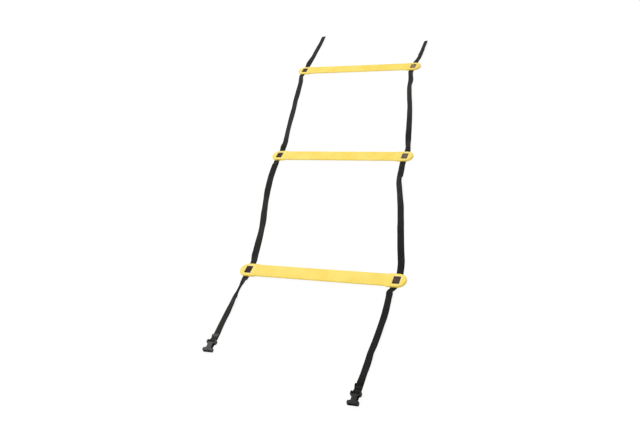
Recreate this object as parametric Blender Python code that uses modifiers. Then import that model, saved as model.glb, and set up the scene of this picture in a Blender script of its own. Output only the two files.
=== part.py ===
"""Agility ladder: three slats on two lengths of webbing, each with half a buckle at its near end.

Metres, +Z up. +X runs along the slats and +Y runs along the ladder, away from its buckles.
The ladder lies flat on the ground at Z = 0, a little out of square, as it was thrown down.
"""

import math

import bpy
import bmesh
from mathutils import Matrix, Vector

# Rungs
RUNG_LENGTH = 0.460
SLAT_WIDTH = 0.040
SLAT_THICKNESS = 0.0040
SLAT_EDGE_ROUND = 0.0010
PAD_RADIUS = 0.0220
PAD_THICKNESS = 0.0053
PAD_EDGE_ROUND = 0.0012
PAD_LENGTH = 0.0440
PAD_TAPER_LENGTH = 0.0100
PAD_RIM_RAISE = 0.0003
SLAT_IN_PAD = 0.0080
WINDOW_FROM_TIP = 0.0252
WINDOW_SIDE_CLEAR = 0.0005
BRIDGE_THICKNESS = 0.0030

# Webbing
WEB_WIDTH = 0.0180
WEB_THICKNESS = 0.0013
WEAVE_BEND_RADIUS = 0.0016
WEAVE_RUN_CENTRE = 0.01115
WEAVE_BEND_CLEAR = 0.00015
WEAVE_PAST_PAD = 0.0020
STATION_STEP = 0.0090
SQUARING_LENGTH = 0.0250

# Layout of the ladder on the ground
NEAR_SPACING = 0.501
FAR_SPACING = 0.512
SKEW_SHARE = 0.2008
MID_RUNG_SHIFT = -0.0046
LEFT_NEAR_TAIL = 0.246
RIGHT_NEAR_TAIL = 0.338
LEFT_FAR_TAIL = 0.255
RIGHT_FAR_TAIL = 0.175
LEFT_BUCKLE_TURN = math.radians(1.0)
RIGHT_BUCKLE_TURN = math.radians(0.5)

# Buckle halves
BUCKLE_HEIGHT = 0.0090
BUCKLE_EDGE_ROUND = 0.0008
BUCKLE_LENGTH = 0.0333
BAR_FROM_REAR = 0.0024
BAR_RADIUS = 0.0015
BAR_IN_EAR = 0.0010
STRAP_SLOT_LENGTH = 0.0035
STRAP_SIDE_CLEAR = 0.0005
EAR_THICKNESS = 0.0031
EAR_LENGTH = 0.0085
EAR_ROUND = 0.0022
SHOULDER_LENGTH = 0.0035
WAIST_WIDTH = 0.0150
WAIST_LENGTH = 0.0115
FLARE_LENGTH = 0.0025
MOUTH_WIDTH = 0.0270
MOUTH_CORNER = 0.0020
CAVITY_WALL = 0.0030
CAVITY_ROOF = 0.0018
CAVITY_DEPTH = 0.0240

# Sewn fold at the buckle
FOLD_BACK_LENGTH = 0.0270
LOWER_RISE_LENGTH = 0.0090
UPPER_FALL_LENGTH = 0.0120
FOLD_BACK_SLIP = 0.0030
FOLD_BACK_TURN = math.radians(9.0)
TACK_WIDTH = 0.0130
TACK_LENGTH = 0.0035
TACK_THICKNESS = 0.0005
TACK_FROM_END = 0.0110

# Motion and fits
GAP = 0.0003
STACK_CLEAR = 0.0008
TAIL_FOLD_FROM_RUNG = 0.1300
OVERRUN = 0.0050
MERGE_DISTANCE = 0.00005

# Counts
ARC_STEPS = 6
LOOP_STEPS = 12
PAD_ARC_STEPS = 20
OUTLINE_STEPS = 6
BAR_SIDES = 20

# Heights that follow from the sizes above
PAD_BOTTOM = WEB_THICKNESS + GAP
PAD_TOP = PAD_BOTTOM + PAD_THICKNESS
SLAT_TOP = PAD_TOP - PAD_RIM_RAISE
SLAT_BOTTOM = SLAT_TOP - SLAT_THICKNESS
BRIDGE_TOP = PAD_BOTTOM + BRIDGE_THICKNESS
WEB_LOW = WEB_THICKNESS / 2
WEB_ON_BRIDGE = BRIDGE_TOP + GAP + WEB_LOW
SLOT_OUTER = WEAVE_RUN_CENTRE + WEAVE_BEND_RADIUS + WEAVE_BEND_CLEAR
SLOT_INNER = WEAVE_RUN_CENTRE - WEAVE_BEND_RADIUS - WEAVE_BEND_CLEAR
WEAVE_HALF = PAD_RADIUS + WEAVE_PAST_PAD
SLOT_X = RUNG_LENGTH / 2 - WINDOW_FROM_TIP
NEAR_FOLD_HEIGHT = PAD_TOP + STACK_CLEAR / 2
FAR_FOLD_HEIGHT = NEAR_FOLD_HEIGHT + (PAD_TOP + STACK_CLEAR) / 2
TAIL_FOLD_HEIGHT = BUCKLE_HEIGHT + STACK_CLEAR
BAR_HEIGHT = BUCKLE_HEIGHT / 2
LOOP_RADIUS = BAR_RADIUS + GAP + WEB_LOW
EAR_WIDTH = WEB_WIDTH + 2 * STRAP_SIDE_CLEAR + 2 * EAR_THICKNESS
BUCKLE_FRONT = BUCKLE_LENGTH - BAR_FROM_REAR
BODY_START = BAR_RADIUS + STRAP_SLOT_LENGTH

RUNG_NAMES = ("near", "mid", "far")
RUNG_Y = (0.0, NEAR_SPACING, NEAR_SPACING + FAR_SPACING)
RUNG_SHIFT = (0.0, MID_RUNG_SHIFT, 0.0)
SIDES = {"left": -1, "right": 1}
BUCKLE_TURN = {"left": LEFT_BUCKLE_TURN, "right": RIGHT_BUCKLE_TURN}
NEAR_TAIL = {"left": LEFT_NEAR_TAIL, "right": RIGHT_NEAR_TAIL}
FAR_TAIL = {"left": LEFT_FAR_TAIL, "right": RIGHT_FAR_TAIL}

# How each strap wanders. A row is a share of the way along its run, a sideways drift as a
# share of the webbing's width, and how far its right edge is lifted, in degrees.
FRONT_BAY_SHARES = {
    "left": (
        (0.072, 0.34, 2), (0.119, 0.34, -22), (0.173, 0.35, -22), (0.235, 0.29, -13),
        (0.293, 0.22, 0), (0.351, 0.16, 0), (0.407, 0.08, -14), (0.470, -0.16, -5),
        (0.528, -0.31, 4), (0.593, -0.47, 0), (0.655, -0.53, -22), (0.719, -0.58, -22),
        (0.788, -0.62, -19), (0.853, -0.53, -22), (0.928, -0.41, -16),
    ),
    "right": (
        (0.084, 0.42, 0), (0.132, 0.45, -4), (0.182, 0.36, -8), (0.233, 0.26, -9),
        (0.285, 0.18, -6), (0.338, 0.10, -3), (0.391, 0.03, -10), (0.444, -0.03, 6),
        (0.501, -0.11, 4), (0.559, -0.19, 6), (0.614, -0.33, 15), (0.670, -0.46, 22),
        (0.731, -0.63, 27), (0.800, -0.71, 13), (0.868, -0.52, -2), (0.928, -0.39, 6),
    ),
}
BACK_BAY_SHARES = {
    "left": (
        (0.085, 0.18, -22), (0.148, 0.20, 0), (0.207, 0.15, 10), (0.273, 0.07, 12),
        (0.342, 0.01, 10), (0.413, -0.06, 2), (0.482, -0.10, 0), (0.552, -0.11, 8),
        (0.626, -0.25, 2), (0.703, -0.23, -6), (0.777, -0.30, 0), (0.853, -0.32, 6),
        (0.920, -0.52, 17),
    ),
    "right": (
        (0.100, 0.37, 23), (0.164, 0.27, 2), (0.225, 0.23, -12), (0.288, 0.19, 2),
        (0.349, 0.15, 4), (0.411, 0.12, 12), (0.475, 0.05, 16), (0.540, -0.03, 23),
        (0.606, -0.19, 28), (0.677, -0.32, 26), (0.753, -0.42, 20), (0.829, -0.31, 8),
        (0.894, -0.40, 26),
    ),
}
NEAR_TAIL_SHARES = {
    "left": (
        (0.150, -0.02, 18), (0.200, 0.06, 28), (0.275, 0.08, 34), (0.346, 0.07, 31),
        (0.413, 0.05, 22), (0.480, 0.09, 18), (0.546, 0.10, 12), (0.612, 0.12, 6),
        (0.678, 0.14, 6), (0.746, 0.16, 6), (0.810, 0.19, 4),
    ),
    "right": (
        (0.104, -0.48, 22), (0.172, -0.31, 14), (0.237, -0.20, 10), (0.301, -0.11, 6),
        (0.365, -0.06, 6), (0.430, -0.05, 10), (0.491, -0.05, 8), (0.553, -0.06, 8),
        (0.613, -0.10, 7), (0.674, -0.15, 12), (0.731, -0.11, 8), (0.787, -0.10, 6),
        (0.846, -0.10, 10),
    ),
}
FAR_TAIL_SHARES = {
    "left": (
        (0.170, -0.18, -14), (0.245, -0.17, -20), (0.374, -0.25, -6), (0.488, -0.33, 2),
        (0.603, -0.42, 0), (0.720, -0.46, 2), (0.835, -0.52, 7), (1.000, -0.73, 9),
    ),
    "right": (
        (0.200, -0.01, 4), (0.302, 0.21, 9), (0.413, 0.32, 14), (0.520, 0.27, 12),
        (0.630, 0.31, 17), (0.730, 0.28, 24), (0.834, 0.28, 24), (1.000, 0.23, 24),
    ),
}
BUCKLE_DRIFT_SHARES = {"left": 0.28, "right": -0.14}


def clear_scene():
    """Remove every object of the scene that Blender opens with."""
    for obj in list(bpy.data.objects):
        bpy.data.objects.remove(obj, do_unlink=True)


def make_collection(name):
    """A new collection under the scene's own."""
    collection = bpy.data.collections.new(name)
    bpy.context.scene.collection.children.link(collection)
    return collection


def make_material(name, colour, roughness, metallic=0.0):
    """A Principled material; colour is linear red, green and blue."""
    material = bpy.data.materials.new(name)
    material.use_nodes = True
    shader = material.node_tree.nodes["Principled BSDF"]
    shader.inputs["Base Color"].default_value = (*colour, 1.0)
    shader.inputs["Roughness"].default_value = roughness
    shader.inputs["Metallic"].default_value = metallic
    material.diffuse_color = (*colour, 1.0)
    return material


def make_object(name, mesh, collection, material=None):
    """Link a mesh object under a name, with its one material."""
    obj = bpy.data.objects.new(name, mesh)
    collection.objects.link(obj)
    if material is not None:
        mesh.materials.append(material)
    return obj


def smoothstep(value):
    """Ease from 0 to 1 with level ends."""
    value = min(max(value, 0.0), 1.0)
    return value * value * (3.0 - 2.0 * value)


def read_table(table, share):
    """Values of a table of rows at a share, on a smooth curve through the rows.

    The curve is a cubic between two rows. Its slope at a row is that of the line through
    the rows on either side, so neighbouring cubics meet without a corner.
    """
    last = len(table) - 1
    index = 0
    while index < last - 1 and share > table[index + 1][0]:
        index += 1

    def slope(row, column):
        low = table[max(row - 1, 0)]
        high = table[min(row + 1, last)]
        return (high[column] - low[column]) / (high[0] - low[0])

    start = table[index]
    end = table[index + 1]
    width = end[0] - start[0]
    t = min(max((share - start[0]) / width, 0.0), 1.0)
    values = []
    for column in range(1, len(start)):
        rise = smoothstep(t)
        lead = (t - 1.0) * (t - 1.0) * t * width * slope(index, column)
        trail = (t - 1.0) * t * t * width * slope(index + 1, column)
        values.append(start[column] + (end[column] - start[column]) * rise + lead + trail)
    return values


def rung_place(rung):
    """Plan position of the middle of a rung."""
    return Vector((RUNG_SHIFT[rung] - SKEW_SHARE * RUNG_Y[rung], RUNG_Y[rung]))


def slot_place(side, rung):
    """Plan position of the middle of one end's strap window."""
    return rung_place(rung) + Vector((SIDES[side] * SLOT_X, 0.0))


class Run:
    """A stretch of strap on the ground, from one plan point to another.

    Distances are measured along Y from the start, whichever way the run goes.
    """

    def __init__(self, start, end, shares, square_start, square_end):
        self.start = start
        self.end = end
        self.length = abs(end.y - start.y)
        self.heading = 1.0 if end.y > start.y else -1.0
        self.square_start = square_start
        self.square_end = square_end
        rows = list(shares)
        leave = WEAVE_HALF / self.length
        lean = (end.x - start.x) / WEB_WIDTH
        if square_start:
            rows.insert(0, (leave, -leave * lean, 0.0))
        if square_end:
            rows.append((1.0 - leave, leave * lean, 0.0))
        self.table = rows

    def centre(self, distance):
        """Plan point and lift angle at a distance from the start."""
        share = distance / self.length
        drift, lift = read_table(self.table, share)
        point = self.start.lerp(self.end, share)
        point.x += drift * WEB_WIDTH
        return point, math.radians(lift)

    def station(self, distance):
        """Middle of the strap and the direction across it, at a distance."""
        point, lift = self.centre(distance)
        ahead, _ = self.centre(distance + STATION_STEP / 2)
        behind, _ = self.centre(distance - STATION_STEP / 2)
        along = (ahead - behind) * self.heading
        swing = math.atan2(along.x, along.y)
        ease = 1.0
        if self.square_start:
            ease *= smoothstep((distance - WEAVE_HALF) / SQUARING_LENGTH)
        if self.square_end:
            ease *= smoothstep((self.length - WEAVE_HALF - distance) / SQUARING_LENGTH)
        swing *= ease
        lift *= ease
        height = WEB_LOW + WEB_WIDTH / 2 * abs(math.sin(lift))
        across = Vector((
            math.cos(lift) * math.cos(swing),
            -math.cos(lift) * math.sin(swing),
            math.sin(lift),
        ))
        return Vector((point.x, point.y, height)), across

    def stations(self, low, high):
        """Evenly stepped stations between two distances, both ends included."""
        count = max(round((high - low) / STATION_STEP), 1)
        return [self.station(low + (high - low) * step / count) for step in range(count + 1)]


def make_strap(name, stations, collection, material):
    """Webbing along its stations: an open strip from a grid, made thick on both sides."""
    rows = len(stations) - 1
    bm = bmesh.new()
    bmesh.ops.create_grid(bm, x_segments=1, y_segments=rows, size=1.0)
    for vert in bm.verts:
        row = round((vert.co.y + 1.0) / 2.0 * rows)
        middle, across = stations[row]
        vert.co = middle + across * vert.co.x * WEB_WIDTH / 2
    mesh = bpy.data.meshes.new(name)
    bm.to_mesh(mesh)
    bm.free()
    strap = make_object(name, mesh, collection, material)
    thick = strap.modifiers.new("webbing thickness", "SOLIDIFY")
    thick.thickness = WEB_THICKNESS
    thick.offset = 0.0
    thick.use_even_offset = True
    return strap


def weave_stations(side, rung):
    """Strap through one rung end: under a rim, up a slot, over the bridge and down again."""
    place = slot_place(side, rung)
    across = Vector((1.0, 0.0, 0.0))
    radius = WEAVE_BEND_RADIUS
    half = [(WEAVE_HALF - GAP / 2, WEB_LOW)]
    for step in range(ARC_STEPS + 1):
        angle = math.pi / 2 * step / ARC_STEPS
        half.append((
            WEAVE_RUN_CENTRE + radius * (1.0 - math.sin(angle)),
            WEB_LOW + radius * (1.0 - math.cos(angle)),
        ))
    for step in range(ARC_STEPS + 1):
        angle = math.pi / 2 * step / ARC_STEPS
        half.append((
            WEAVE_RUN_CENTRE - radius * (1.0 - math.cos(angle)),
            WEB_ON_BRIDGE - radius * (1.0 - math.sin(angle)),
        ))
    profile = [(-y, z) for y, z in half] + list(reversed(half))
    return [(Vector((place.x, place.y + y, z)), across) for y, z in profile]


def tail_run(side):
    """Run of a near tail, from its rung to the buckle's bar."""
    start = slot_place(side, 0)
    end = start + Vector((0.0, -NEAR_TAIL[side]))
    turn = BUCKLE_TURN[side]
    drift = BUCKLE_DRIFT_SHARES[side]
    straight = FOLD_BACK_LENGTH / NEAR_TAIL[side]
    slide = math.tan(turn) * FOLD_BACK_LENGTH / WEB_WIDTH
    rows = NEAR_TAIL_SHARES[side] + (
        (1.0 - straight, drift - slide, 0.0),
        (1.0, drift, 0.0),
    )
    return Run(start, end, rows, True, False)


def bar_place(side):
    """Middle of the buckle's strap bar."""
    point = slot_place(side, 0)
    drift = BUCKLE_DRIFT_SHARES[side] * WEB_WIDTH
    return Vector((point.x + drift, point.y - NEAR_TAIL[side], BAR_HEIGHT))


def buckle_frame(side):
    """Matrix from a buckle's own frame to the ladder's: origin on the bar, mouth to -Y."""
    return Matrix.Translation(bar_place(side)) @ Matrix.Rotation(BUCKLE_TURN[side], 4, "Z")


def loop_stations(side):
    """Strap round the bar: under it, round its front, back over it and down on itself."""
    frame = buckle_frame(side)
    low = WEB_LOW - BAR_HEIGHT
    doubled = WEB_THICKNESS + GAP + WEB_LOW - BAR_HEIGHT
    path = []
    flat_steps = round((FOLD_BACK_LENGTH - LOWER_RISE_LENGTH) / STATION_STEP)
    for step in range(1, flat_steps):
        back = FOLD_BACK_LENGTH + (LOWER_RISE_LENGTH - FOLD_BACK_LENGTH) * step / flat_steps
        path.append((0.0, back, low, 0.0))
    for step in range(ARC_STEPS):
        share = step / ARC_STEPS
        height = low + (-LOOP_RADIUS - low) * smoothstep(share)
        path.append((0.0, LOWER_RISE_LENGTH * (1.0 - share), height, 0.0))
    for step in range(LOOP_STEPS + 1):
        angle = math.pi * step / LOOP_STEPS
        path.append((
            0.0,
            -LOOP_RADIUS * math.sin(angle),
            -LOOP_RADIUS * math.cos(angle),
            0.0,
        ))
    for step in range(1, ARC_STEPS + 1):
        share = step / ARC_STEPS
        height = LOOP_RADIUS + (doubled - LOOP_RADIUS) * smoothstep(share)
        path.append((0.0, UPPER_FALL_LENGTH * share, height, 0.0))
    end_steps = round((FOLD_BACK_LENGTH - UPPER_FALL_LENGTH) / STATION_STEP)
    for step in range(1, end_steps + 1):
        share = step / end_steps
        back = UPPER_FALL_LENGTH + (FOLD_BACK_LENGTH - UPPER_FALL_LENGTH) * share
        path.append((-FOLD_BACK_SLIP * share, back, doubled, FOLD_BACK_TURN * share))
    stations = []
    for slip, back, height, turn in path:
        across = Vector((math.cos(turn), math.sin(turn), 0.0))
        stations.append((frame @ Vector((slip, back, height)), frame.to_3x3() @ across))
    return stations


def flat_plate(name, outline, bottom, top, edge_round):
    """Closed mesh from a flat outline, with rounded upper and lower edges."""
    curve = bpy.data.curves.new(name, "CURVE")
    curve.dimensions = "2D"
    curve.fill_mode = "BOTH"
    curve.extrude = (top - bottom) / 2 - edge_round
    curve.bevel_depth = edge_round
    curve.bevel_resolution = 1
    curve.offset = -edge_round
    spline = curve.splines.new("POLY")
    spline.points.add(len(outline) - 1)
    for point, (x, y) in zip(spline.points, outline):
        point.co = (x, y, 0.0, 1.0)
    spline.use_cyclic_u = True
    source = bpy.data.objects.new(name, curve)
    bpy.context.scene.collection.objects.link(source)
    source.location.z = (top + bottom) / 2
    bpy.context.view_layer.update()
    graph = bpy.context.evaluated_depsgraph_get()
    mesh = bpy.data.meshes.new_from_object(source.evaluated_get(graph))
    bm = bmesh.new()
    bm.from_mesh(mesh)
    bmesh.ops.remove_doubles(bm, verts=bm.verts, dist=MERGE_DISTANCE)
    bm.transform(source.matrix_world)
    bmesh.ops.recalc_face_normals(bm, faces=bm.faces)
    bm.to_mesh(mesh)
    bm.free()
    bpy.data.objects.remove(source, do_unlink=True)
    mesh.materials.clear()
    return mesh


def box_mesh(name, low, high):
    """Closed box between two corners."""
    bm = bmesh.new()
    bmesh.ops.create_cube(bm, size=1.0)
    middle = (Vector(low) + Vector(high)) / 2
    size = Vector(high) - Vector(low)
    for vert in bm.verts:
        vert.co = middle + Vector((vert.co.x * size.x, vert.co.y * size.y, vert.co.z * size.z))
    mesh = bpy.data.meshes.new(name)
    bm.to_mesh(mesh)
    bm.free()
    return mesh


def make_cutter(name, mesh, collection):
    """A shape that another object is cut or joined with."""
    cutter = make_object(name, mesh, collection)
    cutter.hide_render = True
    cutter.display_type = "WIRE"
    return cutter


def add_boolean(obj, operation, other):
    """Cut an object by another, or join the two."""
    modifier = obj.modifiers.new(other.name, "BOOLEAN")
    modifier.operation = operation
    modifier.solver = "EXACT"
    modifier.object = other


def pad_outline(side):
    """Outline of a rung end: a half round tip, straight sides and a taper to the slat."""
    sign = SIDES[side]
    tip_centre = RUNG_LENGTH / 2 - PAD_RADIUS
    inner = RUNG_LENGTH / 2 - PAD_LENGTH
    points = []
    for step in range(PAD_ARC_STEPS + 1):
        angle = math.pi * step / PAD_ARC_STEPS - math.pi / 2
        points.append((
            sign * (tip_centre + PAD_RADIUS * math.cos(angle)),
            PAD_RADIUS * math.sin(angle),
        ))
    for end in (1, -1):
        steps = range(OUTLINE_STEPS + 1)
        for step in steps if end > 0 else reversed(steps):
            share = step / OUTLINE_STEPS
            reach = PAD_RADIUS + (SLAT_WIDTH / 2 - SLAT_EDGE_ROUND - PAD_RADIUS) * smoothstep(share)
            points.append((sign * (inner - PAD_TAPER_LENGTH * share), end * reach))
    if sign < 0:
        points.reverse()
    return points


def make_rung(index, collection, cutters, material):
    """One slat with a thicker rounded pad at each end, each pad with a strap window."""
    name = f"rung_{RUNG_NAMES[index]}"
    half = RUNG_LENGTH / 2 - PAD_LENGTH - PAD_TAPER_LENGTH + SLAT_IN_PAD
    slat = box_mesh(
        name,
        (-half, -SLAT_WIDTH / 2, SLAT_BOTTOM),
        (half, SLAT_WIDTH / 2, SLAT_TOP),
    )
    rung = make_object(name, slat, collection, material)
    edges = rung.modifiers.new("slat edges", "BEVEL")
    edges.width = SLAT_EDGE_ROUND
    edges.segments = 2
    for side, sign in SIDES.items():
        pad = flat_plate(
            f"{name}_{side}_pad", pad_outline(side), PAD_BOTTOM, PAD_TOP, PAD_EDGE_ROUND
        )
        add_boolean(rung, "UNION", make_cutter(f"{name}_{side}_pad", pad, cutters))
        reach = WEB_WIDTH / 2 + WINDOW_SIDE_CLEAR
        low = sign * SLOT_X - reach
        high = sign * SLOT_X + reach
        pocket = box_mesh(
            f"{name}_{side}_pocket",
            (low, -SLOT_OUTER, BRIDGE_TOP),
            (high, SLOT_OUTER, PAD_TOP + OVERRUN),
        )
        add_boolean(rung, "DIFFERENCE", make_cutter(f"{name}_{side}_pocket", pocket, cutters))
        for end, label in ((-1, "near"), (1, "far")):
            slot = box_mesh(
                f"{name}_{side}_{label}_slot",
                (low, min(end * SLOT_INNER, end * SLOT_OUTER), PAD_BOTTOM - OVERRUN),
                (high, max(end * SLOT_INNER, end * SLOT_OUTER), PAD_TOP + OVERRUN),
            )
            cutter = make_cutter(f"{name}_{side}_{label}_slot", slot, cutters)
            add_boolean(rung, "DIFFERENCE", cutter)
    place = rung_place(index).to_3d()
    move = Matrix.Translation(place)
    rung.matrix_world = move
    for cutter in cutters.objects:
        if cutter.name.startswith(name):
            cutter.matrix_world = move
    return rung


def buckle_outline():
    """Plan of a buckle half, from its ears round to the mouth and back."""
    half = []
    for step in range(OUTLINE_STEPS):
        angle = math.pi / 2 * step / OUTLINE_STEPS
        half.append((
            EAR_WIDTH / 2 - EAR_ROUND * (1.0 - math.sin(angle)),
            BAR_FROM_REAR - EAR_ROUND * (1.0 - math.cos(angle)),
        ))
    widths = [
        (EAR_ROUND - BAR_FROM_REAR, EAR_WIDTH),
        (EAR_LENGTH - BAR_FROM_REAR, EAR_WIDTH),
    ]
    shoulder = EAR_LENGTH + SHOULDER_LENGTH - BAR_FROM_REAR
    widths.append((shoulder, WAIST_WIDTH))
    widths.append((shoulder + WAIST_LENGTH, WAIST_WIDTH))
    widths.append((shoulder + WAIST_LENGTH + FLARE_LENGTH, MOUTH_WIDTH))
    widths.append((BUCKLE_FRONT - MOUTH_CORNER, MOUTH_WIDTH))
    widths.append((BUCKLE_FRONT, MOUTH_WIDTH - 2 * MOUTH_CORNER))
    for (start, wide), (end, next_wide) in zip(widths, widths[1:]):
        curved = wide != next_wide and end < BUCKLE_FRONT
        steps = OUTLINE_STEPS if curved else 1
        for step in range(steps):
            share = step / steps
            half.append((
                (wide + (next_wide - wide) * smoothstep(share)) / 2,
                -(start + (end - start) * share),
            ))
    half.append((widths[-1][1] / 2, -BUCKLE_FRONT))
    return half + [(-x, y) for x, y in reversed(half)]


def bar_mesh(name):
    """Round strap bar between the ears, along X."""
    bm = bmesh.new()
    length = EAR_WIDTH - 2 * EAR_THICKNESS + 2 * BAR_IN_EAR
    bmesh.ops.create_cone(
        bm,
        cap_ends=True,
        segments=BAR_SIDES,
        radius1=BAR_RADIUS,
        radius2=BAR_RADIUS,
        depth=length,
        matrix=Matrix.Rotation(math.pi / 2, 4, "Y"),
    )
    mesh = bpy.data.meshes.new(name)
    bm.to_mesh(mesh)
    bm.free()
    return mesh


def make_buckle(side, collection, cutters, material):
    """Socket half of a side-release buckle, with an open mouth, side windows and a bar."""
    name = f"buckle_{side}"
    half_height = BUCKLE_HEIGHT / 2
    body = flat_plate(
        name, buckle_outline(), -half_height, half_height, BUCKLE_EDGE_ROUND
    )
    buckle = make_object(name, body, collection, material)
    between_ears = EAR_WIDTH / 2 - EAR_THICKNESS
    notch = box_mesh(
        f"{name}_notch",
        (-between_ears, -BODY_START, -half_height - OVERRUN),
        (between_ears, BAR_FROM_REAR + OVERRUN, half_height + OVERRUN),
    )
    cavity_half = MOUTH_WIDTH / 2 - CAVITY_WALL
    cavity_top = half_height - CAVITY_ROOF
    cavity = box_mesh(
        f"{name}_cavity",
        (-cavity_half, -BUCKLE_FRONT - OVERRUN, -cavity_top),
        (cavity_half, -BUCKLE_FRONT + CAVITY_DEPTH, cavity_top),
    )
    add_boolean(buckle, "DIFFERENCE", make_cutter(f"{name}_notch", notch, cutters))
    add_boolean(buckle, "DIFFERENCE", make_cutter(f"{name}_cavity", cavity, cutters))
    bar = make_cutter(f"{name}_bar", bar_mesh(f"{name}_bar"), cutters)
    add_boolean(buckle, "UNION", bar)
    frame = buckle_frame(side)
    buckle.matrix_world = frame
    for cutter in cutters.objects:
        if cutter.name.startswith(name):
            cutter.matrix_world = frame
    return buckle


def make_tack(side, collection, material):
    """Block of stitches that closes the fold behind a buckle."""
    name = f"stitching_{side}"
    low = WEB_THICKNESS + GAP + WEB_THICKNESS + GAP - BAR_HEIGHT
    back = FOLD_BACK_LENGTH - TACK_FROM_END
    mesh = box_mesh(
        name,
        (-TACK_WIDTH / 2, back - TACK_LENGTH / 2, low),
        (TACK_WIDTH / 2, back + TACK_LENGTH / 2, low + TACK_THICKNESS),
    )
    tack = make_object(name, mesh, collection, material)
    tack.matrix_world = buckle_frame(side)
    return tack


def make_joint(name, place, parent, collection):
    """An empty on a joint's axis, which carries the pieces that move about it."""
    joint = bpy.data.objects.new(name, None)
    joint.empty_display_size = PAD_RADIUS
    collection.objects.link(joint)
    joint.location = place
    bpy.context.view_layer.update()
    attach(joint, parent)
    return joint


def attach(obj, parent):
    """Parent an object and leave it where it is."""
    if parent is None:
        return
    place = obj.matrix_world.copy()
    obj.parent = parent
    obj.matrix_parent_inverse = parent.matrix_world.inverted()
    obj.matrix_world = place
    bpy.context.view_layer.update()


def build_rungs(collection, cutters, joints, yellow, web):
    """Rungs and the strap woven through them, which slide as one along the webbing."""
    for index, label in enumerate(RUNG_NAMES):
        rung = make_rung(index, collection, cutters, yellow)
        carrier = joints[f"rung_{label}_slide"]
        attach(rung, carrier)
        for cutter in cutters.objects:
            if cutter.name.startswith(rung.name):
                attach(cutter, carrier)
        for side in SIDES:
            name = f"strap_{side}_weave_{label}"
            attach(make_strap(name, weave_stations(side, index), collection, web), carrier)


def build_spans(collection, joints, web):
    """The four stretches of strap between rungs, each in two halves that meet at its fold."""
    layout = (
        ("front_bay", 0, 1, FRONT_BAY_SHARES, joints["near_fold"], None),
        ("back_bay", 1, 2, BACK_BAY_SHARES, None, joints["far_fold"]),
    )
    for label, first, second, shares, near_carrier, far_carrier in layout:
        for side in SIDES:
            run = Run(slot_place(side, first), slot_place(side, second), shares[side], True, True)
            middle = run.length / 2
            near = run.stations(WEAVE_HALF + GAP / 2, middle - GAP / 2)
            far = run.stations(middle + GAP / 2, run.length - WEAVE_HALF - GAP / 2)
            attach(make_strap(f"strap_{side}_{label}_near", near, collection, web), near_carrier)
            attach(make_strap(f"strap_{side}_{label}_far", far, collection, web), far_carrier)


def build_near_tails(collection, cutters, joints, web, plastic, thread):
    """Near tails with their buckles."""
    for side in SIDES:
        run = tail_run(side)
        fold = joints[f"near_tail_{side}_fold"]
        lead = run.stations(WEAVE_HALF + GAP / 2, TAIL_FOLD_FROM_RUNG - GAP / 2)
        name = f"strap_{side}_near_lead"
        attach(make_strap(name, lead, collection, web), joints["near_fold"])
        free = run.stations(TAIL_FOLD_FROM_RUNG + GAP / 2, run.length - FOLD_BACK_LENGTH)
        stations = free + loop_stations(side)
        name = f"strap_{side}_near_tail"
        attach(make_strap(name, stations, collection, web), fold)
        attach(make_tack(side, collection, thread), fold)
        buckle = make_buckle(side, collection, cutters, plastic)
        pivot = joints[f"buckle_{side}_pivot"]
        attach(buckle, pivot)
        for cutter in cutters.objects:
            if cutter.name.startswith(buckle.name):
                attach(cutter, pivot)


def build_far_tails(collection, joints, web):
    """Bare far ends of the webbing."""
    for side in SIDES:
        start = slot_place(side, 2)
        end = start + Vector((0.0, FAR_TAIL[side]))
        run = Run(start, end, FAR_TAIL_SHARES[side], True, False)
        lead = run.stations(WEAVE_HALF + GAP / 2, TAIL_FOLD_FROM_RUNG - GAP / 2)
        free = run.stations(TAIL_FOLD_FROM_RUNG + GAP / 2, run.length)
        name = f"strap_{side}_far_lead"
        attach(make_strap(name, lead, collection, web), joints["far_fold"])
        name = f"strap_{side}_far_tail"
        attach(make_strap(name, free, collection, web), joints[f"far_tail_{side}_fold"])


def make_joints(collection):
    """One empty on the axis of every joint, by the joint's name."""
    joints = {}
    near_fold = Vector((0.0, NEAR_SPACING / 2, NEAR_FOLD_HEIGHT))
    far_fold = Vector((0.0, NEAR_SPACING + FAR_SPACING / 2, FAR_FOLD_HEIGHT))
    joints["near_fold"] = make_joint("near_fold", near_fold, None, collection)
    joints["far_fold"] = make_joint("far_fold", far_fold, None, collection)
    carriers = (joints["near_fold"], None, joints["far_fold"])
    for index, label in enumerate(RUNG_NAMES):
        name = f"rung_{label}_slide"
        place = rung_place(index).to_3d()
        joints[name] = make_joint(name, place, carriers[index], collection)
    for side in SIDES:
        name = f"near_tail_{side}_fold"
        place = slot_place(side, 0) + Vector((0.0, -TAIL_FOLD_FROM_RUNG))
        place = Vector((place.x, place.y, TAIL_FOLD_HEIGHT))
        joints[name] = make_joint(name, place, joints["near_fold"], collection)
        name = f"buckle_{side}_pivot"
        fold = joints[f"near_tail_{side}_fold"]
        joints[name] = make_joint(name, bar_place(side), fold, collection)
        name = f"far_tail_{side}_fold"
        place = slot_place(side, 2) + Vector((0.0, TAIL_FOLD_FROM_RUNG))
        place = Vector((place.x, place.y, TAIL_FOLD_HEIGHT))
        joints[name] = make_joint(name, place, joints["far_fold"], collection)
    return joints


def centre_on_ground(collections):
    """Move the whole ladder so that its box is centred on the origin and stands on Z = 0."""
    graph = bpy.context.evaluated_depsgraph_get()
    corners = []
    for obj in collections[0].objects:
        if obj.type != "MESH":
            continue
        solid = obj.evaluated_get(graph)
        corners += [obj.matrix_world @ vert.co for vert in solid.data.vertices]
    low = Vector([min(corner[axis] for corner in corners) for axis in range(3)])
    high = Vector([max(corner[axis] for corner in corners) for axis in range(3)])
    shift = Vector((-(low.x + high.x) / 2, -(low.y + high.y) / 2, -low.z))
    for collection in collections:
        for obj in collection.objects:
            if obj.parent is None:
                obj.location += shift
    bpy.context.view_layer.update()
    return low, high, shift


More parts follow.
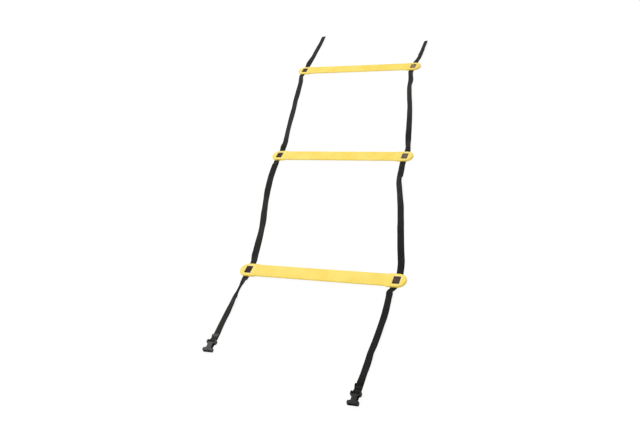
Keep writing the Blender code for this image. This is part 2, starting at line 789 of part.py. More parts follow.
def main():
    """Build the ladder and print where its joints ended up."""
    clear_scene()
    parts = make_collection("agility_ladder")
    cutters = make_collection("cutters")
    yellow = make_material("rung yellow", (0.955, 0.745, 0.135), 0.42)
    web = make_material("webbing charcoal", (0.030, 0.030, 0.028), 0.85)
    plastic = make_material("buckle black", (0.045, 0.045, 0.044), 0.45)
    thread = make_material("thread black", (0.020, 0.020, 0.020), 0.80)
    joints = make_joints(parts)
    build_rungs(parts, cutters, joints, yellow, web)
    build_spans(parts, joints, web)
    build_near_tails(parts, cutters, joints, web, plastic, thread)
    build_far_tails(parts, joints, web)
    bpy.context.view_layer.update()
    low, high, shift = centre_on_ground((parts, cutters))
    size = high - low
    print("box", [round(value, 5) for value in size], "shift", [round(value, 6) for value in shift])
    for name, joint in joints.items():
        print("joint", name, [round(value, 6) for value in joint.matrix_world.translation])


if __name__ == "__main__":
    main()
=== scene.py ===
"""Agility ladder, dressed: three moulded slats on two lengths of woven webbing.

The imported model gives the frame. Every piece here is a surface worked out with numpy in that
frame, in metres. +X runs along the slats, +Y along the ladder away from its buckles, +Z up.
"""

from __future__ import annotations

import logging
import math
from dataclasses import dataclass, field
from enum import Enum
from typing import Iterable, Sequence

import bmesh
import bpy
import numpy as np
from mathutils import Matrix, Vector

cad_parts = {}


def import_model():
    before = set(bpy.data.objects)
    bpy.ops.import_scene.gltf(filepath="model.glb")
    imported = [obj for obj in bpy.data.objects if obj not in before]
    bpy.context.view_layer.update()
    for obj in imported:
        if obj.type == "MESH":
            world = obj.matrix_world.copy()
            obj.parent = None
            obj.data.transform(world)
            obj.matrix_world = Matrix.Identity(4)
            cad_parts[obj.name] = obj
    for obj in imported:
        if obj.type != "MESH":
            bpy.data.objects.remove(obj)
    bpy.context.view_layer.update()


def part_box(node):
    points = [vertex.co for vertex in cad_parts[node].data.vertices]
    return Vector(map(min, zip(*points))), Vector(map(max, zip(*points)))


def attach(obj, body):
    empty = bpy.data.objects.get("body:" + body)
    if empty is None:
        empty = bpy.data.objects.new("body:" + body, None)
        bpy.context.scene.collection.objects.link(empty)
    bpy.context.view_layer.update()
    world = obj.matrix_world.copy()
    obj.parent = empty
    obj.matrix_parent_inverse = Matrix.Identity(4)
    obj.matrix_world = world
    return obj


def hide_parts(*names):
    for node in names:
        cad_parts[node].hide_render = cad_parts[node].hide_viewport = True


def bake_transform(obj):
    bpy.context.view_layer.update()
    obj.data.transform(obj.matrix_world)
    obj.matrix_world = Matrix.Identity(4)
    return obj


Array = np.ndarray
Socket = bpy.types.NodeSocket
Pair = tuple[float, float]
Triple = tuple[float, float, float]
LOG = logging.getLogger("agility_ladder")

# The frame's words for the rungs and runs, from the end with the buckles.
RUNG_WORDS = ("near", "mid", "far")
RUNG_BODIES = ("near_rung", "middle_rung", "far_rung")
RUN_BODIES = ("near_run", "middle_run", "far_run")

# Places closer than this, in metres, are the same place.
CLOSE = 1e-6


class Side(Enum):
    """The two long sides of the ladder, as seen from its buckles."""

    LEFT = -1
    RIGHT = 1

    @property
    def word(self) -> str:
        """The side's name, as the frame's nodes and bodies spell it."""
        return self.name.lower()


class Slot(Enum):
    """Material slots of the record."""

    RUNG = "rung yellow"
    WEBBING = "webbing charcoal"
    BUCKLE = "buckle black"
    THREAD = "thread black"


# Sizes


@dataclass(frozen=True)
class LadderPlan:
    """Sizes that the solids have too, in metres, and where the ladder lies in the frame.

    A pair holds the values of the left and the right side, except for the spacing, which is
    that of the near bay and of the far one.
    """

    origin: Pair = (0.0, 0.0)
    spacing: Pair = (0.501, 0.512)
    skew_share: float = 0.2008
    rung_drift: Triple = (0.0, -0.0046, 0.0)
    near_tail: Pair = (0.246, 0.338)
    far_tail: Pair = (0.255, 0.175)
    tail_fold: float = 0.130

    rung_length: float = 0.460
    slat_width: float = 0.040
    slat_bottom: float = 0.0026
    slat_top: float = 0.0066
    pad_radius: float = 0.0220
    pad_bottom: float = 0.0016
    pad_top: float = 0.0069
    pad_length: float = 0.0440
    pad_taper: float = 0.0100
    window_from_tip: float = 0.0252
    window_half_x: float = 0.0095
    window_half_y: float = 0.0129
    bridge_half_y: float = 0.0094
    bridge_top: float = 0.0046

    web_width: float = 0.0180
    web_thickness: float = 0.0013
    web_on_bridge: float = 0.00555
    bend_radius: float = 0.0016
    bend_centre: float = 0.01115
    weave_half: float = 0.0240
    squaring: float = 0.0250
    far_cut: Pair = (math.radians(15.0), math.radians(32.0))
    far_cut_reach: float = 0.0130

    buckle_turn: Pair = (math.radians(1.0), math.radians(0.5))
    buckle_drift: Pair = (0.28, -0.14)
    buckle_height: float = 0.0090
    bar_radius: float = 0.0015
    gap: float = 0.0003
    fold_back: Pair = (0.0245, 0.0270)
    lower_rise: float = 0.0090
    upper_fall: float = 0.0120
    fold_slip: float = 0.0030
    fold_turn: float = math.radians(9.0)

    @property
    def window_x(self) -> float:
        """Distance of a strap window's middle from the middle of its rung."""
        return self.rung_length / 2 - self.window_from_tip

    def rung_centre(self, rung: int) -> Array:
        """Plan point of a rung's middle, in the frame."""
        y = sum(self.spacing[:rung])
        x = self.rung_drift[rung] - self.skew_share * y
        return np.array([self.origin[0] + x, self.origin[1] + y])

    def window(self, side: Side, rung: int) -> Array:
        """Plan point of the middle of a strap window, in the frame."""
        return self.rung_centre(rung) + np.array([side.value * self.window_x, 0.0])

    def pick(self, pair: Pair, side: Side) -> float:
        """The left or right value of a pair."""
        return pair[0] if side is Side.LEFT else pair[1]

    def on_buckle(self, points: Array, side: Side) -> Array:
        """Points round a buckle's strap bar, turned with the buckle and put at its place."""
        x, y = self.window(side, 0)
        drift = self.pick(self.buckle_drift, side) * self.web_width
        bar = np.array([x + drift, y - self.pick(self.near_tail, side), self.buckle_height / 2])
        return self.turned(points, side) + bar

    def turned(self, directions: Array, side: Side) -> Array:
        """Directions turned about the vertical as a buckle is."""
        turn = self.pick(self.buckle_turn, side)
        cos, sin = math.cos(turn), math.sin(turn)
        return directions @ np.array([[cos, sin, 0.0], [-sin, cos, 0.0], [0.0, 0.0, 1.0]])


# How each strap wanders. A row is a share of the way along its run, a sideways drift as a share
# of the webbing's width, and how far its right edge is lifted, in degrees.
FRONT_BAY_SHARES = {
    Side.LEFT: (
        (0.072, 0.34, 2), (0.119, 0.34, -22), (0.173, 0.35, -22), (0.235, 0.29, -13),
        (0.293, 0.22, 0), (0.351, 0.16, 0), (0.407, 0.08, -14), (0.470, -0.16, -5),
        (0.528, -0.31, 4), (0.593, -0.47, 0), (0.655, -0.53, -22), (0.719, -0.58, -22),
        (0.788, -0.62, -19), (0.853, -0.53, -22), (0.928, -0.41, -16),
    ),
    Side.RIGHT: (
        (0.084, 0.42, 0), (0.132, 0.45, -4), (0.182, 0.36, -8), (0.233, 0.26, -9),
        (0.285, 0.18, -6), (0.338, 0.10, -3), (0.391, 0.03, -10), (0.444, -0.03, 6),
        (0.501, -0.11, 4), (0.559, -0.19, 6), (0.614, -0.33, 15), (0.670, -0.46, 22),
        (0.731, -0.63, 25), (0.772, -0.73, 35), (0.822, -0.64, 2), (0.868, -0.52, -2),
        (0.928, -0.39, 6),
    ),
}
BACK_BAY_SHARES = {
    Side.LEFT: (
        (0.085, 0.18, -22), (0.148, 0.20, 0), (0.207, 0.15, 10), (0.273, 0.07, 12),
        (0.342, 0.01, 10), (0.413, -0.06, 2), (0.482, -0.10, 0), (0.552, -0.11, 8),
        (0.626, -0.25, 2), (0.703, -0.23, -6), (0.777, -0.30, 0), (0.853, -0.32, 6),
        (0.920, -0.52, 17),
    ),
    Side.RIGHT: (
        (0.100, 0.37, 23), (0.164, 0.27, 2), (0.225, 0.23, -12), (0.288, 0.19, 2),
        (0.349, 0.15, 4), (0.411, 0.12, 12), (0.475, 0.05, 16), (0.540, -0.03, 23),
        (0.606, -0.19, 28), (0.677, -0.32, 26), (0.753, -0.42, 20), (0.829, -0.31, 8),
        (0.894, -0.40, 26),
    ),
}
NEAR_TAIL_SHARES = {
    Side.LEFT: (
        (0.150, -0.02, 20), (0.200, -0.02, 60), (0.275, -0.05, 79), (0.346, 0.00, 66),
        (0.413, 0.05, 32), (0.480, 0.09, 18), (0.546, 0.10, 12), (0.612, 0.12, 6),
        (0.678, 0.14, 6), (0.746, 0.16, 6), (0.810, 0.19, 4),
    ),
    Side.RIGHT: (
        (0.104, -0.48, 18), (0.138, -0.38, 9), (0.172, -0.31, 12), (0.237, -0.20, 10),
        (0.301, -0.11, 6), (0.365, -0.06, 6), (0.430, -0.05, 10), (0.491, -0.05, 8),
        (0.553, -0.06, 8), (0.613, -0.10, 7), (0.674, -0.15, 12), (0.731, -0.11, 8),
        (0.787, -0.10, 6), (0.846, -0.10, 10),
    ),
}
FAR_TAIL_SHARES = {
    Side.LEFT: (
        (0.170, -0.18, -14), (0.245, -0.17, -20), (0.374, -0.25, -6), (0.488, -0.33, 2),
        (0.603, -0.42, 0), (0.720, -0.46, 2), (0.835, -0.52, 7), (1.000, -0.73, 9),
    ),
    Side.RIGHT: (
        (0.200, -0.01, 4), (0.302, 0.21, 9), (0.413, 0.32, 14), (0.520, 0.27, 12),
        (0.630, 0.31, 17), (0.730, 0.28, 24), (0.834, 0.28, 24), (1.000, 0.23, 24),
    ),
}

# Where the webbing leaves each pad, from the rung nearest the buckles: its sideways place on
# the nearer and the farther side of the rung, as a share of the webbing's width.
EXIT_SHARES = {
    Side.LEFT: ((-0.04, -0.02), (-0.17, -0.21), (-0.28, -0.19)),
    Side.RIGHT: ((-0.19, 0.07), (-0.04, 0.04), (-0.22, 0.02)),
}

# Painted highlight and yellow bounce light added to the webbing's colour over each bridge, from
# the nearest rung.
BRIDGE_PAINTED_LIGHT = {
    Side.LEFT: ((0.026, 0.004, 0.0), (0.032, 0.012, 0.0), (0.036, 0.018, 0.0)),
    Side.RIGHT: ((0.084, 0.046, 0.036), (0.155, 0.105, 0.070), (0.260, 0.170, 0.095)),
}

# Painted shading along each strap, as light falls on its tilt: metres from the nearest rung, and a
# share of full colour.
PAINTED_SHADING = {
    Side.LEFT: ((0.00, 0.96), (0.33, 1.04), (0.60, 0.90), (0.85, 1.04), (1.20, 0.92)),
    Side.RIGHT: (
        (-0.05, 0.44), (0.18, 0.54), (0.33, 0.84), (0.46, 0.64), (0.62, 0.64), (0.80, 0.86),
        (1.20, 0.66),
    ),
}

# The same at each sewn fold: the painted shading over the fold, and a painted highlight at its cut
# end.
FOLD_PAINTED_SHADING = {Side.LEFT: 0.90, Side.RIGHT: 0.20}
FOLD_PAINTED_LIGHT = {Side.LEFT: (0.075, 0.072, 0.070), Side.RIGHT: (0.0, 0.0, 0.0)}


# Surfaces


def smoothstep(value: Array) -> Array:
    """Ease from 0 to 1 with level ends: three times the square less twice the cube.

    Args:
        value: Any numbers; they are held between 0 and 1 first.

    Returns:
        The eased numbers.
    """
    held = np.clip(value, 0.0, 1.0)
    return held * held * (3.0 - 2.0 * held)


def unit(vectors: Array) -> Array:
    """Rows of vectors scaled to length one."""
    return vectors / np.linalg.norm(vectors, axis=-1, keepdims=True)


def lengths_along(points: Array) -> Array:
    """Distance of each point of a line from its first, along the line."""
    steps = np.linalg.norm(np.diff(points, axis=0), axis=1)
    return np.concatenate([[0.0], np.cumsum(steps)])


def quarter_round(steps: int) -> tuple[Array, Array]:
    """Arc of a rounded edge, from the face to the wall, for a radius of one.

    At an angle from 0 to a right angle the edge has come in from the wall by one less the
    sine, and away from the face by one less the cosine.

    Args:
        steps: Number of steps in the arc.

    Returns:
        How far in and how far away each of its points is.
    """
    angle = np.linspace(0.0, math.pi / 2, steps + 1)
    return 1.0 - np.sin(angle), 1.0 - np.cos(angle)


def circle(steps: int) -> tuple[Array, Array]:
    """Cosines and sines of even steps round a circle."""
    angle = np.linspace(0.0, math.tau, steps + 1)[:-1]
    return np.cos(angle), np.sin(angle)


def grid_faces(rows: int, columns: int, closed_columns: bool = False) -> Array:
    """Quads of a grid whose vertices are stored row by row.

    Args:
        rows: Number of vertex rows.
        columns: Number of vertices in a row.
        closed_columns: Whether the last vertex of a row joins the first.

    Returns:
        An array of four indices per quad.
    """
    across = columns if closed_columns else columns - 1
    row = np.arange(rows - 1)[:, None] * columns
    here = np.arange(across)[None, :]
    there = (here + 1) % columns
    quads = np.stack([row + here, row + there, row + columns + there, row + columns + here], -1)
    return quads.reshape(-1, 4)


def tube_faces(rows: int, columns: int, inside_out: bool = False) -> list[Array]:
    """Faces of a tube with closed ends, whose rings are stored one after the other.

    Args:
        rows: Number of rings.
        columns: Number of vertices in a ring.
        inside_out: Whether every face is turned over.

    Returns:
        The indices of each face, the two ends last.
    """
    first = np.arange(columns)
    faces = [*grid_faces(rows, columns, True), first[::-1], first + (rows - 1) * columns]
    return [face[::-1] for face in faces] if inside_out else faces


def linked(name: str, data: bpy.types.ID) -> bpy.types.Object:
    """A new object in the scene that holds some data."""
    made = bpy.data.objects.new(name, data)
    bpy.context.scene.collection.objects.link(made)
    return made


def new_piece(name: str, points: Array, faces: Iterable[Sequence[int]]) -> bpy.types.Object:
    """A mesh object at the origin from points in the frame, shaded smooth.

    Args:
        name: Name of the piece.
        points: One row of three coordinates per vertex.
        faces: Vertex indices of each face.

    Returns:
        The linked object.
    """
    mesh = bpy.data.meshes.new(name)
    mesh.from_pydata(points.tolist(), [], [list(map(int, face)) for face in faces])
    mesh.update()
    mesh.shade_smooth()
    return linked(name, mesh)


def write_map(piece: bpy.types.Object, name: str, places: Array) -> None:
    """Give a piece a UV map.

    Args:
        piece: The piece.
        name: Name of the map.
        places: One row of two coordinates per vertex.
    """
    corner = np.empty(len(piece.data.loops), np.int32)
    piece.data.loops.foreach_get("vertex_index", corner)
    layer = piece.data.uv_layers.new(name=name)
    layer.data.foreach_set("uv", places[corner].astype(np.float32).ravel())


def write_attribute(piece: bpy.types.Object, name: str, values: Array) -> None:
    """Give every vertex of a piece a number, or a vector where there are rows of three."""
    kind, key = ("FLOAT", "value") if values.ndim == 1 else ("FLOAT_VECTOR", "vector")
    layer = piece.data.attributes.new(name, kind, "POINT")
    layer.data.foreach_set(key, values.astype(np.float32).ravel())


def sharpen_ends(mesh: bpy.types.Mesh, rows: int, columns: int) -> None:
    """Mark the rims of a tube's two caps sharp, so that they don't tilt its shading.

    Args:
        mesh: A mesh whose vertices are rows of the same count of columns.
        rows: Number of rows.
        columns: Vertices in a row.
    """
    ends = np.empty(len(mesh.edges) * 2, np.int32)
    mesh.edges.foreach_get("vertices", ends)
    row = ends.reshape(-1, 2) // columns
    rim = (row == 0).all(axis=1) | (row == rows - 1).all(axis=1)
    layer = mesh.attributes.new("sharp_edge", "BOOLEAN", "EDGE")
    layer.data.foreach_set("value", rim)


def weld_outward(piece: bpy.types.Object, distance: float) -> None:
    """Merge a piece's doubled points, then turn its faces outwards.

    Args:
        piece: A mesh made of patches that meet along equal points.
        distance: How far apart two points may be and still merge.
    """
    bm = bmesh.new()
    bm.from_mesh(piece.data)
    bmesh.ops.remove_doubles(bm, verts=bm.verts, dist=distance)
    bmesh.ops.dissolve_degenerate(bm, edges=bm.edges, dist=distance)
    bmesh.ops.recalc_face_normals(bm, faces=bm.faces)
    bm.to_mesh(piece.data)
    bm.free()


@dataclass
class PatchWork:
    """Grids of points that are gathered into one mesh.

    Attributes:
        weld: How far apart two points may be and still merge.
        smooth_angle: Edges sharper than this stay sharp.
    """

    weld: float = 0.00002
    smooth_angle: float = math.radians(50.0)
    points: list[Array] = field(default_factory=list)
    faces: list[Array] = field(default_factory=list)
    count: int = 0

    def add(self, grid: Array, tube: bool = False) -> None:
        """Add a grid of points as quads.

        Args:
            grid: Points as rows, columns and coordinates.
            tube: Whether each row is a ring, and the first and last one are closed.
        """
        make = tube_faces if tube else grid_faces
        rows, columns = grid.shape[:2]
        self.points.append(grid.reshape(-1, 3))
        self.faces += [face + self.count for face in make(rows, columns)]
        self.count += rows * columns

    def piece(self, name: str, place: Array) -> bpy.types.Object:
        """One welded object from all the patches, moved to its place, with faces outwards."""
        made = new_piece(name, np.concatenate(self.points) + place, self.faces)
        weld_outward(made, self.weld)
        made.data.shade_smooth()
        made.data.set_sharp_from_angle(angle=self.smooth_angle)
        return made


# Finishes


class NodeBook:
    """Writes a node tree step by step."""

    def __init__(
        self, owner: bpy.types.Material | bpy.types.World, shader: str = "Principled BSDF"
    ) -> None:
        """Open the tree of a new material or world.

        Args:
            owner: What the tree belongs to.
            shader: Name of the shader that it starts with.
        """
        owner.use_nodes = True
        self.owner, self.tree = owner, owner.node_tree
        self.shader = self.tree.nodes[shader]

    def node(
        self, kind: str, *values: Socket | float | tuple, **settings: object
    ) -> bpy.types.Node:
        """A new node with its own settings, its first sockets fed with values."""
        made = self.tree.nodes.new(f"ShaderNode{kind}")
        for key, value in settings.items():
            setattr(made, key, value)
        for socket, value in zip(made.inputs, values):
            self.feed(socket, value)
        return made

    def feed(self, target: Socket, value: Socket | float | tuple) -> None:
        """Link a socket to another, or set it to a plain value."""
        if isinstance(value, bpy.types.NodeSocket):
            self.tree.links.new(value, target)
        else:
            target.default_value = value

    def math(self, operation: str, *values: Socket | float) -> Socket:
        """One step of arithmetic."""
        return self.node("Math", *values, operation=operation).outputs[0]

    def span(
        self,
        value: Socket,
        low: float,
        high: float,
        to_low: Socket | float = 0.0,
        to_high: float = 1.0,
    ) -> Socket:
        """A value eased from one range to another and held there."""
        numbers = (value, low, high, to_low, to_high)
        return self.node("MapRange", *numbers, interpolation_type="SMOOTHSTEP").outputs[0]

    def blend(self, share: Socket, first: Socket | Triple, second: Socket | Triple) -> Socket:
        """Mix two colours by a share."""
        made = self.node("Mix", share, data_type="RGBA")
        for socket, colour in ((made.inputs[6], first), (made.inputs[7], second)):
            self.feed(socket, (*colour, 1.0) if isinstance(colour, tuple) else colour)
        return made.outputs[2]

    def scale(self, vector: Socket, factor: Socket) -> Socket:
        """A vector or colour times a number."""
        made = self.node("VectorMath", vector, operation="SCALE")
        self.feed(made.inputs["Scale"], factor)
        return made.outputs[0]

    def sum(self, first: Socket, *terms: tuple[Socket | float, float]) -> Socket:
        """A value plus others, each times its own factor."""
        for value, factor in terms:
            first = self.math("ADD", first, self.math("MULTIPLY", value, factor))
        return first

    def axes(self, vector: Socket) -> tuple[Socket, Socket, Socket]:
        """The three coordinates of a vector."""
        return tuple(self.node("SeparateXYZ", vector).outputs)

    def map(self, name: str) -> tuple[Socket, Socket, Socket]:
        """The coordinates of a piece's own map."""
        return self.axes(self.node("UVMap", uv_map=name).outputs["UV"])

    def noise(self, scale: float, detail: float) -> Socket:
        """Cloudy noise between 0 and 1, in the piece's own frame."""
        where = self.node("TexCoord").outputs["Object"]
        made = self.node("TexNoise", where)
        made.inputs["Scale"].default_value = scale
        made.inputs["Detail"].default_value = detail
        return made.outputs["Fac"]

    def bump(self, height: Socket, distance: float, strength: float) -> Socket:
        """A normal from a height between 0 and 1 that stands for a distance in metres."""
        made = self.node("Bump")
        for key, value in (("Strength", strength), ("Distance", distance), ("Height", height)):
            self.feed(made.inputs[key], value)
        return made.outputs["Normal"]

    def set(self, **values: Socket | float | tuple) -> None:
        """Feed the shader's sockets; an underscore in a key stands for a space."""
        for key, value in values.items():
            self.feed(self.shader.inputs[key.replace("_", " ")], value)


@dataclass(frozen=True)
class MouldedRungPlastic:
    """Tough satin plastic of the rungs, with a faint mottle, moulding grain and a pale painted
    highlight round each strap window.

    Noises are a scale and a detail, spans the ends of a range, and a relief is a depth in
    metres and a strength, here as in the finishes below.
    """

    name: str = "rung_moulded_yellow"
    light: Triple = (0.945, 0.730, 0.118)
    deep: Triple = (0.920, 0.665, 0.068)
    # Pale colour of a painted highlight round each strap window.
    rim: Triple = (0.985, 0.850, 0.420)
    highlight_width: float = 0.0032
    highlight_share: float = 0.7
    rim_polish: float = 0.12
    cloud: Pair = (22.0, 3.0)
    cloud_span: Pair = (0.35, 0.68)
    grain: Pair = (900.0, 2.0)
    scuff: Pair = (140.0, 4.0)
    scuff_height: float = 0.6
    scuff_roughness: float = 0.16
    roughness: float = 0.40
    relief: Pair = (0.00004, 0.7)

    def window_highlight_mask(self, book: NodeBook, plan: LadderPlan) -> Socket:
        """How much painted highlight a point gets: how near it is to the edge of a strap window,
        from the piece's own plan map.

        The distance is the larger of those past the window's ends and past its sides.
        """
        x, y, _ = book.map("plan")
        x = book.math("SUBTRACT", book.math("ABSOLUTE", x), plan.window_x)
        x = book.math("SUBTRACT", book.math("ABSOLUTE", x), plan.window_half_x)
        y = book.math("SUBTRACT", book.math("ABSOLUTE", y), plan.window_half_y)
        return book.span(book.math("MAXIMUM", x, y), 0.0, self.highlight_width, 1.0, 0.0)

    def build(self, plan: LadderPlan) -> bpy.types.Material:
        """The material: cloud mottle between two yellows, a pale painted highlight round the
        windows, and two sizes of grain in the bump.
        """
        book = NodeBook(bpy.data.materials.new(self.name))
        cloud, grain, scuff = (book.noise(*kind) for kind in (self.cloud, self.grain, self.scuff))
        rim = self.window_highlight_mask(book, plan)
        colour = book.blend(book.span(cloud, *self.cloud_span), self.light, self.deep)
        rough = book.math("MULTIPLY_ADD", scuff, self.scuff_roughness, self.roughness)
        book.set(
            # A painted highlight pales the colour near each strap window.
            Base_Color=book.blend(
                book.math("MULTIPLY", rim, self.highlight_share), colour, self.rim
            ),
            Roughness=book.sum(rough, (rim, -self.rim_polish)),
            Normal=book.bump(book.sum(grain, (scuff, self.scuff_height)), *self.relief),
        )
        return book.owner


@dataclass(frozen=True)
class WovenWebbing:
    """Flat woven webbing: fine cords along its length, crossed in a small chevron.

    The values of the tone say how much of the lighter colour the height of the weave, its fuzz
    and its patches bring, and the painted-light values how the painted light follows the raised
    cords.
    """

    name: str = "webbing_woven_charcoal"
    raised: Triple = (0.035, 0.033, 0.028)
    sunk: Triple = (0.006, 0.006, 0.005)
    cord_pitch: float = 0.00150
    pick_pitch: float = 0.00240
    chevron: float = 0.9
    cord_floor: float = 0.55
    full_height: float = 1.4
    half_width: float = 0.0090
    edge_shade: float = 0.45
    edge_span: Pair = (0.62, 0.98)
    fuzz: Pair = (1500.0, 2.0)
    patch: Pair = (26.0, 3.0)
    patch_span: Pair = (0.35, 0.65)
    tone_height: float = 0.62
    tone_fuzz: float = 0.18
    tone_patch: Pair = (-0.08, 0.14)
    painted_light_fuzz: float = 0.5
    painted_light_span: tuple[float, ...] = (0.2, 1.4, 0.75, 1.25)
    roughness: Pair = (0.92, 0.62)
    sheen: Pair = (0.04, 0.45)
    shine: float = 0.15
    relief: Pair = (0.00022, 0.8)

    def build(self) -> bpy.types.Material:
        """The material, on the piece's own map of metres along and across the webbing.

        A cord's height is the size of a sine across the width. Along the length each cord rises
        and falls, and its neighbour does so half a step later, which gives the chevrons.
        """
        book = NodeBook(bpy.data.materials.new(self.name))
        along, across, _ = book.map("webbing")
        turns = book.math("DIVIDE", across, self.cord_pitch)
        ridge = book.math("ABSOLUTE", book.math("SINE", book.math("MULTIPLY", turns, math.pi)))
        steps = book.math("DIVIDE", along, self.pick_pitch)
        swing = book.sum(steps, (book.math("PINGPONG", turns, 1.0), self.chevron))
        wave = book.math("SINE", book.math("MULTIPLY", swing, math.tau))
        rise = book.math("ADD", book.span(wave, -1.0, 1.0), self.cord_floor)
        height = book.math("MULTIPLY", rise, ridge)
        fuzz, patch = book.noise(*self.fuzz), book.noise(*self.patch)
        tone = book.sum(
            book.span(patch, *self.patch_span, *self.tone_patch),
            (height, self.tone_height),
            (fuzz, self.tone_fuzz),
        )
        # Painted shade: the colour darkens towards the selvedges.
        out = book.math("DIVIDE", book.math("ABSOLUTE", across), self.half_width)
        edge = book.span(out, *self.edge_span, 1.0, 1.0 - self.edge_shade)
        colour = book.blend(book.math("MULTIPLY", tone, edge), self.sunk, self.raised)
        # Painted shading along the strap and painted light over bridges and the fold's cut end
        # come from per-point attributes.
        painted_shading = book.node("Attribute", attribute_name="painted_shading").outputs["Fac"]
        painted_light = book.node("Attribute", attribute_name="painted_light").outputs["Vector"]
        painted_light_mask = book.span(book.sum(height, (fuzz, self.painted_light_fuzz)), *self.painted_light_span)
        painted_light = book.scale(painted_light, painted_light_mask)
        colour = book.node("VectorMath", book.scale(colour, painted_shading), painted_light, operation="ADD").outputs[0]
        book.set(
            Base_Color=colour,
            Roughness=book.span(height, 0.0, self.full_height, *self.roughness),
            Sheen_Weight=self.sheen[0],
            Sheen_Roughness=self.sheen[1],
            Specular_IOR_Level=self.shine,
            Normal=book.bump(height, *self.relief),
        )
        return book.owner


@dataclass(frozen=True)
class MouldedBucklePlastic:
    """Dark satin acetal of the buckles, with a spark-eroded grain."""

    name: str = "buckle_moulded_black"
    light: Triple = (0.047, 0.046, 0.045)
    deep: Triple = (0.022, 0.022, 0.021)
    shine: float = 0.40
    cloud: Pair = (120.0, 3.0)
    cloud_span: Pair = (0.35, 0.65)
    grain: Pair = (2600.0, 2.0)
    grain_span: Pair = (0.3, 0.7)
    roughness: Pair = (0.40, 0.56)
    relief: Pair = (0.00003, 0.6)

    def build(self) -> bpy.types.Material:
        """The material: two near blacks, clouded, over a fine grain."""
        book = NodeBook(bpy.data.materials.new(self.name))
        cloud = book.span(book.noise(*self.cloud), *self.cloud_span)
        grain = book.noise(*self.grain)
        book.set(
            Base_Color=book.blend(cloud, self.deep, self.light),
            Roughness=book.span(grain, *self.grain_span, *self.roughness),
            Specular_IOR_Level=self.shine,
            Normal=book.bump(grain, *self.relief),
        )
        return book.owner


@dataclass(frozen=True)
class TwistedThread:
    """Dark twisted sewing thread, with a number of plies in each metre."""

    name: str = "thread_twisted_black"
    light: Triple = (0.050, 0.049, 0.047)
    deep: Triple = (0.012, 0.012, 0.012)
    plies: float = 1400.0
    roughness: float = 0.6
    relief: Pair = (0.00006, 0.8)

    def build(self) -> bpy.types.Material:
        """The material: slanting plies from the piece's own map, dark between them."""
        book = NodeBook(bpy.data.materials.new(self.name))
        along, around, _ = book.map("thread")
        slant = book.math("MULTIPLY_ADD", along, self.plies, around)
        ply = book.span(book.math("SINE", book.math("MULTIPLY", slant, math.tau)), -1.0, 1.0)
        book.set(
            Base_Color=book.blend(ply, self.deep, self.light),
            Roughness=self.roughness,
            Normal=book.bump(ply, *self.relief),
        )
        return book.owner


class Finishes:
    """One material for each of the ladder's finishes."""

    def __init__(self, plan: LadderPlan) -> None:
        """Build every finish once; the right buckle gets a darker, less shiny copy of the same
        plastic as painted shade.
        """
        self.rung = MouldedRungPlastic().build(plan)
        self.webbing = WovenWebbing().build()
        # Painted shade: the right buckle is the left one's plastic, made darker and less shiny.
        shaded_copy = MouldedBucklePlastic(
            name="buckle_moulded_black_fresh",
            light=(0.016, 0.015, 0.013),
            deep=(0.007, 0.007, 0.006),
            shine=0.20,
        )
        self.buckle = {
            Side.LEFT: MouldedBucklePlastic().build(),
            Side.RIGHT: shaded_copy.build(),
        }
        self.thread = TwistedThread().build()

    def dress(self, piece: bpy.types.Object, material: bpy.types.Material, slot: Slot) -> None:
        """Give a piece its material."""
        piece.data.materials.clear()
        piece.data.materials.append(material)


@dataclass
class Assembly:
    """A sub-assembly of the ladder, with the sizes and the finishes that it is made from."""

    plan: LadderPlan
    finishes: Finishes


# Webbing


@dataclass(frozen=True)
class Stations:
    """Cross-sections of webbing in a row: middles, directions across and curl, in radians.

    The curl is the half-angle of the arc that the webbing bends into from edge to edge, and
    its middle is that of the line from edge to edge.
    """

    middles: Array
    across: Array
    curl: Array

    @classmethod
    def joined(cls, *parts: Stations, doubled: float = 0.0001) -> Stations:
        """Several stretches end to end, without points that are doubled to within a length."""
        kinds = ("middles", "across", "curl")
        values = [np.concatenate([getattr(part, kind) for part in parts]) for kind in kinds]
        moved = np.linalg.norm(np.diff(values[0], axis=0), axis=1) > doubled
        keep = np.concatenate([[True], moved])
        return cls(*(value[keep] for value in values))

    def backwards(self) -> Stations:
        """The same stations, last one first."""
        return Stations(self.middles[::-1], self.across[::-1], self.curl[::-1])


